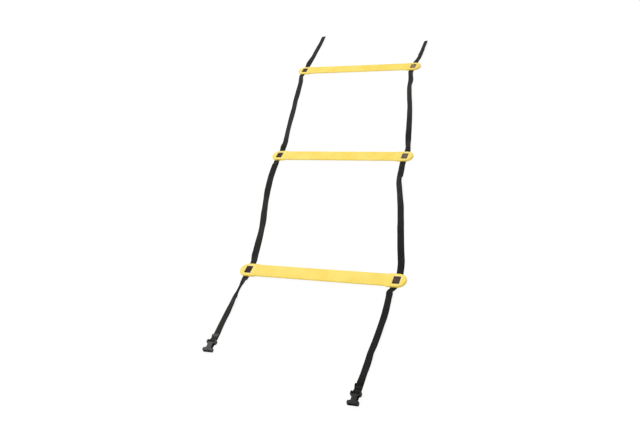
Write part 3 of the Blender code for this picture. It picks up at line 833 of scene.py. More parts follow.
@dataclass
class StrapRun:
    """A stretch of webbing on the ground between two plan points.

    Distances are measured along Y from the start, whichever way the run goes.

    Attributes:
        plan: Sizes of the ladder.
        start: Plan point where the run starts.
        end: Plan point where it ends.
        rows: Share of the way, sideways drift as a share of the width, lift in degrees.
        exits: Sideways place, in widths, where it leaves a pad at its start and reaches one
            at its end; None for a free end.
        look: How far before and after a point its direction is taken.
        lift_most: How far the webbing can be lifted before it curls.
        curl_gain: How much it curls for each part that it is lifted more.
    """

    plan: LadderPlan
    start: Array
    end: Array
    rows: Sequence[Triple]
    exits: tuple[float | None, float | None]
    look: float = 0.0045
    lift_most: float = math.radians(22.0)
    curl_gain: float = 3.0

    def __post_init__(self) -> None:
        """Complete the table of drift with the square exits."""
        self.length = abs(float(self.end[1] - self.start[1]))
        leave = self.plan.weave_half / self.length
        lean = float(self.end[0] - self.start[0]) / self.plan.web_width
        table = list(self.rows)
        if self.exits[0] is not None:
            table.insert(0, (leave, self.exits[0] - leave * lean, 0.0))
        if self.exits[1] is not None:
            table.append((1.0 - leave, self.exits[1] + leave * lean, 0.0))
        self.table = np.array(table, float)

    def drift(self, share: Array) -> tuple[Array, Array]:
        """Sideways drift and lift at shares of the way.

        Between two rows the curve is a cubic, whose slope at a row is that of the line through
        the rows on either side of it.

        Args:
            share: Shares of the way along the run.

        Returns:
            Drift in widths and lift in degrees.
        """
        rows = self.table
        last = len(rows) - 1
        low = np.clip(np.searchsorted(rows[:, 0], share, side="left") - 1, 0, last - 1)
        before = np.maximum(np.arange(last + 1) - 1, 0)
        after = np.minimum(np.arange(last + 1) + 1, last)
        slope = (rows[after, 1:] - rows[before, 1:]) / (rows[after, :1] - rows[before, :1])
        width = (rows[low + 1, 0] - rows[low, 0])[:, None]
        t = np.clip((share[:, None] - rows[low, :1]) / width, 0.0, 1.0)
        values = rows[low, 1:] + (rows[low + 1, 1:] - rows[low, 1:]) * smoothstep(t)
        values = values + (t - 1.0) ** 2 * t * width * slope[low]
        values = values + (t - 1.0) * t * t * width * slope[low + 1]
        return values[:, 0], values[:, 1]

    def plan_points(self, distance: Array) -> tuple[Array, Array]:
        """Plan points and lift in radians at distances from the start."""
        share = distance / self.length
        drift, lift = self.drift(share)
        points = self.start[None, :] + (self.end - self.start)[None, :] * share[:, None]
        points[:, 0] += drift * self.plan.web_width
        return points, np.radians(lift)

    def stations(self, distance: Array) -> Stations:
        """Cross-sections of the webbing at distances from the start.

        The direction across is square to the path in plan and lifted by the lift angle. Both
        ease to level and square over a short length next to a rung. Past the most that an edge
        is held up the webbing curls by a multiple of the rest, and settles level as it does.
        From edge to edge it then keeps the sine of the curl over the curl as a share of its
        width. The lower edge touches the ground, so the middle is half the thickness plus half
        of what is lifted above it.

        Args:
            distance: Distances from the start, in metres.

        Returns:
            A station for each distance.
        """
        plan = self.plan
        points, lift = self.plan_points(distance)
        ahead, behind = (self.plan_points(distance + s * self.look)[0] for s in (1.0, -1.0))
        along = (ahead - behind) * np.sign(self.end[1] - self.start[1])
        swing = np.arctan2(along[:, 0], along[:, 1])
        for place, inside in zip(self.exits, (distance, self.length - distance)):
            if place is not None:
                ease = smoothstep((inside - plan.weave_half) / plan.squaring)
                swing, lift = swing * ease, lift * ease
        curl = self.curl_gain * np.maximum(np.abs(lift) - self.lift_most, 0.0)
        held = np.clip(lift, -self.lift_most, self.lift_most) * (1.0 - curl / math.pi)
        chord = plan.web_width * np.sinc(curl / math.pi)
        height = plan.web_thickness / 2 + chord / 2 * np.abs(np.sin(held))
        flat = np.cos(held)
        across = np.column_stack([flat * np.cos(swing), -flat * np.sin(swing), np.sin(held)])
        return Stations(np.column_stack([points, height]), across, curl)


@dataclass(frozen=True)
class StrapPiece:
    """One length of webbing, with the two bodies it lies between and the stretch listed for its
    bend.
    """

    name: str
    stations: Stations
    bodies: tuple[str, str]
    bend: Pair
    nodes: tuple[str, ...]
    start_length: float


@dataclass
class WebbingStrap(Assembly):
    """One of the two straps: its path, its cross-section and its pieces.

    Attributes:
        side: Which strap this is.
        step: Distance between cross-sections.
        fold_step_share: The share of it that is kept where a bay folds.
        hide: Where two pieces meet on a rung, past its middle.
        slack: What a bend leaves free past a rung.
        settle: Distance from a rung at which a slide of the rung is taken up.
        fold_half: Half the length that bends where the front and the back bay fold.
        tail_fold_half: Half the length that bends where a tail folds.
        edge_power: The higher, the more square the edges are.
        groove: Depth of the selvedge's groove, its place across and its width, as shares.
        curl_least: Curl of flat webbing, so that its arc has a radius.
        curl_pressed: Share by which a full curl is pressed lower.
        bridge_painted_light: Where the painted light over a bridge starts to fade, and over what
            length.
        cut_painted_light: The same for the painted highlight at the cut end of the fold.
    """

    side: Side
    step: float = 0.0030
    fold_step_share: float = 0.5
    level_steps: int = 5
    bend_steps: int = 8
    bridge_steps: int = 6
    loop_steps: int = 24
    hide: float = 0.0180
    slack: float = 0.0005
    settle: float = 0.1900
    fold_half: Pair = (0.009, 0.015)
    tail_fold_half: float = 0.0120
    side_points: int = 13
    edge_power: int = 10
    groove: Triple = (0.12, 0.82, 0.06)
    curl_least: float = 0.001
    curl_pressed: float = 0.35
    bridge_painted_light: Pair = (0.0065, 0.0045)
    cut_painted_light: Pair = (0.0055, 0.0050)

    def __post_init__(self) -> None:
        """Set out the runs of the strap."""
        plan, side = self.plan, self.side
        window = self.window = [plan.window(side, rung) for rung in range(3)]
        near, mid, far = EXIT_SHARES[side]
        self.bays = (
            StrapRun(plan, window[0], window[1], FRONT_BAY_SHARES[side], (near[1], mid[0])),
            StrapRun(plan, window[1], window[2], BACK_BAY_SHARES[side], (mid[1], far[0])),
        )
        self.fold_back = plan.pick(plan.fold_back, side)
        length, drift = plan.pick(plan.near_tail, side), plan.pick(plan.buckle_drift, side)
        slide = math.tan(plan.pick(plan.buckle_turn, side)) * self.fold_back / plan.web_width
        rows = NEAR_TAIL_SHARES[side] + (
            (1.0 - self.fold_back / length, drift - slide, 0.0),
            (1.0, drift, 0.0),
        )
        end = window[0] + np.array([0.0, -length])
        self.near = StrapRun(plan, window[0], end, rows, (near[0], None))
        end = window[2] + np.array([0.0, plan.pick(plan.far_tail, side)])
        self.far = StrapRun(plan, window[2], end, FAR_TAIL_SHARES[side], (far[1], None))

    def spaced(self, low: float, high: float, share: float = 1.0) -> Array:
        """Evenly stepped distances with both ends, in either order, at a share of the step."""
        count = max(int(round(abs(high - low) / (self.step * share))), 2)
        return np.linspace(low, high, count + 1)

    def weave(self, rung: int, low: float, high: float) -> Stations:
        """Webbing through a rung end, between two offsets from the rung's middle along Y.

        The profile is level on the ground, turns up through a quarter circle, down to level
        over the bridge through another, and is its own mirror image. Past its bends the
        webbing wanders evenly to the place where it leaves the pad.

        Args:
            rung: Which rung.
            low: Lower offset.
            high: Higher offset.

        Returns:
            The stations, none of them curled.
        """
        plan = self.plan
        radius, centre, top = plan.bend_radius, plan.bend_centre, plan.web_on_bridge
        ground = plan.web_thickness / 2
        less_sine, less_cosine = quarter_round(self.bend_steps)
        level = np.linspace(plan.weave_half, centre + radius, self.level_steps + 1)[:-1]
        y = np.concatenate([
            level,
            centre + radius * less_sine,
            centre - radius * less_cosine,
            np.linspace(centre - radius, 0.0, self.bridge_steps + 1)[1:],
        ])
        z = np.concatenate([
            np.full(len(level), ground),
            ground + radius * less_cosine,
            top - radius * less_sine,
            np.full(self.bridge_steps, top),
        ])
        y, z = np.concatenate([-y, y[-2::-1]]), np.concatenate([z, z[-2::-1]])
        keep = (y > low - CLOSE) & (y < high + CLOSE)
        y, z = y[keep], z[keep]
        if high < plan.weave_half:
            y, z = np.append(y, high), np.append(z, ground)
        if low > -plan.weave_half:
            y, z = np.insert(y, 0, low), np.insert(z, 0, ground)
        x0, y0 = self.window[rung]
        nearer, farther = EXIT_SHARES[self.side][rung]
        past = np.clip((np.abs(y) - centre) / (plan.weave_half - centre), 0.0, 1.0)
        wander = np.where(y < 0, nearer, farther) * past * plan.web_width
        points = np.column_stack([x0 + wander, y0 + y, z])
        return Stations(points, np.tile([1.0, 0.0, 0.0], (len(y), 1)), np.zeros(len(y)))

    def loop(self) -> Stations:
        """Webbing of the sewn fold: under the bar, round its front and back on top of itself.

        Returns:
            Stations from the rung side to the cut end.
        """
        plan = self.plan
        low = plan.web_thickness / 2 - plan.buckle_height / 2
        doubled = low + plan.web_thickness + plan.gap
        radius = plan.bar_radius + plan.gap + plan.web_thickness / 2
        flat = np.linspace(self.fold_back, plan.lower_rise, self.bridge_steps + 1)[1:]
        fall = np.linspace(0.0, 1.0, self.bend_steps + 1)[1:]
        rise = fall[:-1]
        turn = np.linspace(0.0, math.pi, self.loop_steps + 1)
        end = np.linspace(0.0, 1.0, self.bend_steps)[1:]
        back = np.concatenate([
            flat,
            plan.lower_rise * (1.0 - rise),
            -radius * np.sin(turn),
            plan.upper_fall * fall,
            plan.upper_fall + (self.fold_back - plan.upper_fall) * end,
        ])
        height = np.concatenate([
            np.full(len(flat), low),
            low + (-radius - low) * smoothstep(rise),
            -radius * np.cos(turn),
            radius + (doubled - radius) * smoothstep(fall),
            np.full(len(end), doubled),
        ])
        swing = np.concatenate([np.zeros(len(back) - len(end)), end])
        points = np.column_stack([-plan.fold_slip * swing, back, height])
        angle = plan.fold_turn * swing
        across = np.column_stack([np.cos(angle), np.sin(angle), np.zeros(len(angle))])
        return Stations(
            plan.on_buckle(points, self.side), plan.turned(across, self.side), np.zeros(len(angle))
        )

    def section(self) -> Array:
        """Cross-section as places across and heights, counter-clockwise seen along the webbing.

        Places across are the sine of an even angle, so they crowd at the edges. The height is
        the square root of one less a high power of the place, which rounds the edges only,
        with a shallow groove beside each edge where the selvedge starts.
        """
        place = np.sin(np.linspace(-math.pi / 2, math.pi / 2, self.side_points))
        depth, centre, width = self.groove
        height = np.sqrt(np.clip(1.0 - np.abs(place) ** self.edge_power, 0.0, 1.0))
        height *= 1.0 - depth * np.exp(-(((np.abs(place) - centre) / width) ** 2))
        lower = np.column_stack([place, -height])
        upper = np.column_stack([place[::-1], height[::-1]])[1:-1]
        size = np.array([self.plan.web_width / 2, self.plan.web_thickness / 2])
        return np.concatenate([lower, upper]) * size

    def surface(self, part: StrapPiece) -> bpy.types.Object:
        """Mesh of a piece: the cross-section carried along its stations.

        The cross-section is bent into an arc first: a place across turns by its share of the
        curl, its middle line lies on the arc and its height goes out along the arc's radius. The
        arc is pressed lower by a share that grows with the curl. A point is the station's
        middle, plus its place times the direction across, plus its height times the normal,
        which is square to the path and to the direction across.

        Args:
            part: The piece to make.

        Returns:
            The object, with a map of metres along and across the webbing.
        """
        ring = self.section()
        half = self.plan.web_width / 2
        middles, across = part.stations.middles, part.stations.across
        backwards = bool(middles[-1, 1] < middles[0, 1])
        normal = unit(np.cross(across, unit(np.gradient(middles, axis=0))))
        normal = -normal if backwards else normal
        curl = np.maximum(part.stations.curl, self.curl_least)[:, None]
        turn = curl * ring[None, :, 0] / half
        place = half / curl * np.sin(turn) + ring[None, :, 1] * np.sin(turn)
        pressed = 1.0 - self.curl_pressed * curl / math.pi
        arc = half / curl * (np.cos(turn) - np.cos(curl))
        height = arc * pressed + ring[None, :, 1] * np.cos(turn)
        grid = (
            middles[:, None, :]
            + across[:, None, :] * place[:, :, None]
            + normal[:, None, :] * height[:, :, None]
        )
        rows, columns = grid.shape[:2]
        piece = new_piece(part.name, grid.reshape(-1, 3), tube_faces(rows, columns, backwards))
        sharpen_ends(piece.data, rows, columns)
        length = lengths_along(middles) + part.start_length
        across_map = np.tile(ring[:, 0], rows)
        write_map(piece, "webbing", np.column_stack([np.repeat(length, columns), across_map]))
        self.colour(piece, middles[:, 1], length, columns)
        return piece

    def colour(self, piece: bpy.types.Object, y: Array, length: Array, columns: int) -> None:
        """Write the painted shading and the painted light of every point as attributes.

        The painted light fades within a few millimetres past a bridge and past the cut end of the
        fold.

        Args:
            piece: The strap piece.
            y: Where its stations lie along the ladder.
            length: Their distances along the strap from its cut end at the buckle.
            columns: Points in a station.
        """
        # Painted light: a highlight over each bridge and at the cut end of the fold.
        away = np.abs(y[:, None] - np.array([place[1] for place in self.window]))
        start, fade = self.bridge_painted_light
        painted_light = (1.0 - smoothstep((away - start) / fade)) @ np.array(BRIDGE_PAINTED_LIGHT[self.side])
        start, fade = self.cut_painted_light
        cut = 1.0 - smoothstep((length - start) / fade)
        painted_light = painted_light + cut[:, None] * np.array(FOLD_PAINTED_LIGHT[self.side])
        # Painted shading along the strap, and over the sewn fold.
        places, depths = zip(*PAINTED_SHADING[self.side])
        painted_shading = np.interp(y - self.plan.origin[1], places, depths)
        painted_shading = np.where(length < self.fold_back, FOLD_PAINTED_SHADING[self.side], painted_shading)
        write_attribute(piece, "painted_shading", np.repeat(painted_shading, columns))
        write_attribute(piece, "painted_light", np.repeat(painted_light, columns, axis=0))

    def slanted_end(self, start: float) -> Stations:
        """The bare far end from a distance on, turned step by step to the slant of its cut."""
        plan = self.plan
        length = plan.pick(plan.far_tail, self.side)
        distance = self.spaced(start, length)
        end = self.far.stations(distance)
        near_cut = smoothstep(1.0 - (length - distance) / plan.far_cut_reach)
        turn = plan.pick(plan.far_cut, self.side) * near_cut
        (x, y, z), cos, sin = end.across.T, np.cos(turn), np.sin(turn)
        across = np.column_stack([x * cos + y * sin, y * cos - x * sin, z])
        return Stations(end.middles, across, end.curl)

    def layout(self) -> list[StrapPiece]:
        """Every piece of the strap, from its buckle to its far end."""
        plan, word = self.plan, self.side.word
        rung = [float(plan.rung_centre(index)[1]) for index in range(3)]
        out, hide, settle = plan.weave_half, self.hide, self.settle
        easy = out + self.slack
        fold, half = plan.tail_fold, self.tail_fold_half
        tail_start = fold - half
        pieces: list[StrapPiece] = []

        def add(
            label: str,
            bodies: tuple[str, str],
            bend: Pair,
            nodes: tuple[str, ...],
            *parts: Stations,
        ) -> None:
            """Append a piece whose length carries on from the one before."""
            start = 0.0
            if pieces:
                last = pieces[-1]
                start = last.start_length + float(lengths_along(last.stations.middles)[-1])
            names = tuple(f"strap_{word}_{name}" for name in nodes)
            stations = Stations.joined(*parts)
            name = f"webbing_{word}_{label}"
            pieces.append(StrapPiece(name, stations, bodies, bend, names, start))

        near_end = plan.pick(plan.near_tail, self.side) - self.fold_back
        add("near_tail", (f"near_tail_{word}", RUN_BODIES[0]),
            (rung[0] - fold - half, rung[0] - fold + half), ("near_tail",),
            self.loop().backwards(), self.near.stations(self.spaced(near_end, tail_start)))
        add("near_weave", (RUN_BODIES[0], RUNG_BODIES[0]),
            (rung[0] - tail_start, rung[0] - easy), ("near_lead", "weave_near"),
            self.near.stations(self.spaced(tail_start, out)), self.weave(0, -out, hide))
        for bay, label in enumerate(("front", "back")):
            run, spacing, start = self.bays[bay], plan.spacing[bay], rung[bay]
            late, middle, bend = spacing - settle, start + spacing / 2, self.fold_half[bay]
            add(f"{label}_near", (RUNG_BODIES[bay], RUN_BODIES[bay]),
                (start + easy, start + settle), (f"{label}_bay_near",),
                self.weave(bay, hide, out), run.stations(self.spaced(out, settle)))
            add(f"{label}_fold", RUN_BODIES[bay:bay + 2], (middle - bend, middle + bend), (),
                run.stations(self.spaced(settle, late, self.fold_step_share)))
            add(f"{label}_far", (RUN_BODIES[bay + 1], RUNG_BODIES[bay + 1]),
                (start + late, rung[bay + 1] - easy),
                (f"{label}_bay_far", f"weave_{RUNG_WORDS[bay + 1]}"),
                run.stations(self.spaced(late, spacing - out)), self.weave(bay + 1, -out, hide))
        add("far_lead", (RUNG_BODIES[2], RUN_BODIES[2]),
            (rung[2] + easy, rung[2] + tail_start), ("far_lead",),
            self.weave(2, hide, out), self.far.stations(self.spaced(out, tail_start)))
        add("far_tail", (RUN_BODIES[2], f"far_tail_{word}"),
            (rung[2] + fold - half, rung[2] + fold + half), ("far_tail",),
            self.slanted_end(tail_start))
        return pieces

    def build(self) -> None:
        """Make and dress every piece of the strap, and hide the frame's parts that it stands for.
        """
        for part in self.layout():
            piece = self.surface(part)
            self.finishes.dress(piece, self.finishes.webbing, Slot.WEBBING)
            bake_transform(piece)
            if part.nodes:
                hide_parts(*part.nodes)
            LOG.info("%s: %d points, %s", part.name, len(piece.data.vertices), part.bodies)


# Rungs


@dataclass
class Rung(Assembly):
    """A moulded slat with a raised, rounded pad at each end and a strap window in each pad.

    Attributes:
        index: 0 for the rung nearest the buckles, 2 for the farthest.
        line_steps: Points across the rung where a pad meets the slat, less one.
        side_steps: Steps along a pad's side, half of them on its taper.
        tip_steps: Steps round a pad's half circle.
        corner_steps: How many of these face a long side of the window, at either end.
        ring_steps: Steps from a window's outline to that of its pad.
        slat_steps: Steps along the slat.
        slat_edge: Radius of the slat's upper edges.
        pad_edge: How far a pad's upper edge comes in.
        pad_drop: How far it comes down.
        lower_edge: Radius of all lower edges.
        window_edge: Radius of the window's edges.
        bridge_seat: How far a bridge reaches into the walls of its window.
        bridge_edge: Radius of a bridge's edges.
    """

    index: int
    line_steps: int = 12
    side_steps: int = 16
    tip_steps: int = 36
    corner_steps: int = 5
    ring_steps: int = 6
    slat_steps: int = 72
    edge_steps: int = 6
    window_edge_steps: int = 3
    slat_edge: float = 0.0010
    pad_edge: float = 0.0026
    pad_drop: float = 0.0016
    lower_edge: float = 0.0008
    window_edge: float = 0.0005
    bridge_seat: float = 0.0004
    bridge_edge: float = 0.0006

    def __post_init__(self) -> None:
        """Work out where a pad's half circle, its side and its taper start."""
        tip = self.plan.rung_length / 2
        self.tip_centre = tip - self.plan.pad_radius
        self.shoulder = tip - self.plan.pad_length
        self.inner = self.shoulder - self.plan.pad_taper

    def padness(self, x: Array) -> Array:
        """0 on the slat and 1 on a pad, easing over the taper."""
        return smoothstep((np.abs(x) - self.inner) / self.plan.pad_taper)

    def lifted(self, flat: Array, upper: bool, drop: float = 0.0) -> Array:
        """Plan points put on the upper or the lower face, or deeper in by a drop."""
        plan = self.plan
        slat, pad = plan.slat_bottom, plan.pad_bottom
        if upper:
            slat, pad, drop = plan.slat_top, plan.pad_top, -drop
        height = slat + (pad - slat) * self.padness(flat[..., 0]) + drop
        return np.concatenate([flat, height[..., None]], -1)

    def free_outline(self) -> tuple[Array, Array]:
        """Outline of a pad from its inner upper corner round the tip to its inner lower one.

        The taper widens by smoothstep, the side is straight and the tip is a half circle.

        Returns:
            Plan points and outward unit normals.
        """
        plan, half = self.plan, self.plan.slat_width / 2
        steps = self.side_steps // 2 + 1
        x = np.concatenate([
            np.linspace(self.inner, self.shoulder, steps)[:-1],
            np.linspace(self.shoulder, self.tip_centre, steps),
        ])
        upper = np.column_stack([x, half + (plan.pad_radius - half) * self.padness(x)])
        angle = np.linspace(math.pi / 2, -math.pi / 2, self.tip_steps + 1)[1:-1]
        tip = np.column_stack([np.cos(angle), np.sin(angle)]) * plan.pad_radius
        tip[:, 0] += self.tip_centre
        points = np.concatenate([upper, tip, upper[::-1] * np.array([1.0, -1.0])])
        along = unit(np.gradient(points, axis=0))
        normals = np.column_stack([-along[:, 1], along[:, 0]])
        normals[0], normals[-1] = (0.0, 1.0), (0.0, -1.0)
        return points, normals

    def window_loop(self, grow: float) -> Array:
        """Window outline in the same order as the pad's whole outline, grown by a distance.

        The long sides take a few steps of the tip's half circle each, so that each corner of
        the window faces the part of the tip outside it.
        """
        plan = self.plan
        half, reach = plan.window_half_x + grow, plan.window_half_y + grow
        low, high = plan.window_x - half, plan.window_x + half
        steps = self.line_steps + 1
        line = np.column_stack([np.full(steps, low), np.linspace(-reach, reach, steps)])
        steps = self.side_steps + self.corner_steps + 1
        upper = np.column_stack([np.linspace(low, high, steps), np.full(steps, reach)])
        steps = self.tip_steps - 2 * self.corner_steps + 1
        end = np.column_stack([np.full(steps, high), np.linspace(reach, -reach, steps)])
        lower = upper[::-1] * np.array([1.0, -1.0])
        return np.concatenate([line[:-1], upper[:-1], end[:-1], lower[:-1]])

    def edge_profile(self, share: Array, upper: bool) -> tuple[Array, Array]:
        """Width and drop of a rounded edge where the rung is a given share of a pad."""
        if not upper:
            return np.full_like(share, self.lower_edge), np.full_like(share, self.lower_edge)
        width = self.slat_edge + (self.pad_edge - self.slat_edge) * share
        drop = self.slat_edge + (self.pad_drop - self.slat_edge) * share
        return width, drop

    def edge_strip(self, points: Array, normals: Array) -> Array:
        """Rounded wall along an outline, from the upper face to the lower one.

        Along each edge's arc the wall has come in by a share of the edge's width, and up or
        down by the same arc's share of its drop.

        Args:
            points: Plan outline.
            normals: Outward normals.

        Returns:
            A grid with a row for each outline point.
        """
        share = self.padness(points[:, 0])
        edges = []
        for upper, order in ((True, 1), (False, -1)):
            come_in, away = (arc[::order] for arc in quarter_round(self.edge_steps))
            width, drop = self.edge_profile(share, upper)
            inset = width[:, None] * come_in
            flat = points[:, None, :] - normals[:, None, :] * inset[:, :, None]
            face = self.lifted(points, upper)[:, None, 2]
            height = face - order * drop[:, None] * away
            edges.append(np.concatenate([flat, height[:, :, None]], 2))
        return np.concatenate(edges, 1)

    def inner_line(self, upper: bool) -> Array:
        """Places across the rung where a pad meets the slat."""
        width, _ = self.edge_profile(np.zeros(1), upper)
        reach = self.plan.slat_width / 2 - float(width[0])
        return np.linspace(-reach, reach, self.line_steps + 1)

    def pad(self, work: PatchWork, sign: float) -> None:
        """Add a pad's faces, edges and window walls.

        Each face is a ring: its rows go evenly from the window's outline to the pad's.

        Args:
            work: Where the patches go.
            sign: 1 for the right end, -1 for the left.
        """
        points, normals = self.free_outline()
        share = self.padness(points[:, 0])
        ring = np.linspace(0.0, 1.0, self.ring_steps + 1)[:, None, None]
        hole = self.window_loop(self.window_edge)
        rings, wall = [], []
        for upper, order in ((True, 1), (False, -1)):
            width, _ = self.edge_profile(share, upper)
            line = self.inner_line(upper)
            inner = np.column_stack([np.full(len(line), self.inner), line])
            outer = np.concatenate([inner[:-1], (points - normals * width[:, None])[:-1]])
            rings.append(self.lifted(hole[None] * (1.0 - ring) + outer[None] * ring, upper))
            arcs = quarter_round(self.window_edge_steps)
            for grow, drop in np.column_stack(arcs)[::order] * self.window_edge:
                wall.append(self.lifted(self.window_loop(grow), upper, drop))
        patches = [np.concatenate([loop, loop[:, :1]], 1) for loop in (*rings, np.array(wall))]
        for patch in (self.edge_strip(points, normals), *patches, self.bridge()):
            work.add(patch * np.array([sign, 1.0, 1.0]))

    def bridge(self) -> Array:
        """Bar across the window that the webbing passes over, as a rounded beam along X.

        Its section is a rectangle with quarter-circle corners. It reaches into the pad's walls
        at both ends, where its rows close to a point.
        """
        plan = self.plan
        reach = plan.window_half_x + self.bridge_seat
        angle = np.linspace(0.0, math.pi / 2, self.window_edge_steps + 1)
        corner = np.column_stack([np.sin(angle), np.cos(angle)]) * self.bridge_edge
        middle = (plan.bridge_top + plan.pad_bottom) / 2
        spot = np.array([plan.bridge_half_y, plan.bridge_top - middle]) - self.bridge_edge
        turns = ((1.0, 1.0, 1), (1.0, -1.0, -1), (-1.0, -1.0, 1), (-1.0, 1.0, -1))
        section = np.concatenate([
            (spot + corner[::order]) * np.array([y, z]) for y, z, order in turns
        ])
        section = np.concatenate([section, section[:1]])
        size = np.array([0.0, 1.0, 1.0, 0.0])[:, None, None]
        flat = section[None] * size + np.array([0.0, middle])
        x = np.array([-reach, -reach, reach, reach])[:, None, None] + plan.window_x
        return np.concatenate([np.broadcast_to(x, (4, len(section), 1)), flat], 2)

    def slat(self, work: PatchWork) -> None:
        """Add the flat length between the pads: an upper and a lower face and two edges."""
        x = np.linspace(-self.inner, self.inner, self.slat_steps + 1)
        for upper in (True, False):
            grid = np.stack(np.meshgrid(x, self.inner_line(upper), indexing="ij"), -1)
            work.add(self.lifted(grid, upper))
        for sign in (1.0, -1.0):
            outline = np.column_stack([x, np.full(len(x), sign * self.plan.slat_width / 2)])
            work.add(self.edge_strip(outline, np.tile([0.0, sign], (len(x), 1))))

    def build(self) -> None:
        """Make, place, dress and hang the rung."""
        work = PatchWork()
        self.slat(work)
        for sign in (1.0, -1.0):
            self.pad(work, sign)
        centre = self.plan.rung_centre(self.index)
        name = RUNG_WORDS[self.index]
        piece = work.piece(f"rung_{name}_moulding", np.array([*centre, 0.0]))
        points = np.empty(len(piece.data.vertices) * 3, np.float32)
        piece.data.vertices.foreach_get("co", points)
        write_map(piece, "plan", points.reshape(-1, 3)[:, :2] - centre)
        self.finishes.dress(piece, self.finishes.rung, Slot.RUNG)
        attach(piece, RUNG_BODIES[self.index])
        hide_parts(f"rung_{name}")
        LOG.info("%s: %d points", piece.name, len(piece.data.vertices))


# Buckles and stitches


@dataclass(frozen=True)
class SocketShape:
    """Plan and heights of a buckle's socket half, in metres.

    The origin is the middle of the strap bar, +Y is towards the rung and the mouth is at -Y.
    Blocks that would share a face stand proud of each other by a hair, so that none flickers,
    and those that only meet sink into each other a little.
    """

    rear: float = 0.0024
    ear_half: float = 0.0126
    ear_inner: float = 0.0095
    ear_front: float = -0.0061
    ear_start: float = -0.0056
    ear_round: float = 0.0022
    ear_edge: float = 0.0005
    bar_reach: float = 0.0105
    wall_rear: float = -0.0050
    wall_front: float = -0.0066
    side_wall_front: float = -0.0076
    waist_half: float = 0.0067
    lower_waist_half: float = 0.0084
    waist_rear: float = -0.0096
    waist_front: float = -0.0211
    mouth_half: float = 0.0135
    mouth_rear: float = -0.0236
    mouth_wall_rear: float = -0.0228
    front: float = -0.0309
    mouth_corner: float = 0.0020
    cavity_half: float = 0.0105
    cavity_top: float = 0.0027
    cavity_edge: float = 0.0003
    half_height: float = 0.0045
    body_half_height: float = 0.0042
    rim_length: float = 0.0026
    rim_edge: float = 0.0004
    edge_round: float = 0.0007
    proud: float = 0.00004
    sunk: float = 0.0002
    ease_steps: int = 8
    corner_steps: int = 5

    def half_widths(self, waist: float) -> tuple[Array, Array]:
        """Half the width of the moulding at stations from its ears to its mouth.

        The shoulder and the flare ease by smoothstep, and the mouth's front corners are
        quarter ellipses.

        Args:
            waist: Half the width at the waist.

        Returns:
            Places along Y, falling, and half widths.
        """
        ease = np.linspace(0.0, 1.0, self.ease_steps + 1)
        less_sine, less_cosine = (arc[1:] for arc in quarter_round(self.corner_steps))
        y = np.concatenate([
            self.ear_front + (self.waist_rear - self.ear_front) * ease,
            self.waist_front + (self.mouth_rear - self.waist_front) * ease,
            [self.front + self.mouth_corner],
            self.front + self.mouth_corner * less_sine,
        ])
        half = np.concatenate([
            self.ear_half + (waist - self.ear_half) * smoothstep(ease),
            waist + (self.mouth_half - waist) * smoothstep(ease),
            [self.mouth_half],
            self.mouth_half - self.mouth_corner * less_cosine,
        ])
        return y, half

    def between(self, high: float, low: float, waist: float) -> tuple[Array, Array]:
        """The same stations between two places along Y, with those two added."""
        y, half = self.half_widths(waist)
        ends = np.interp([-high, -low], -y, half)
        keep = (y < high - CLOSE) & (y > low + CLOSE)
        return np.r_[high, y[keep], low], np.r_[ends[0], half[keep], ends[1]]

    def outline(self, y: Array, left: Array, right: Array) -> Array:
        """Plan outline, counter-clockwise, down the left places and up the right ones."""
        return np.column_stack([np.r_[left, right[::-1]], np.r_[y, y[::-1]]])


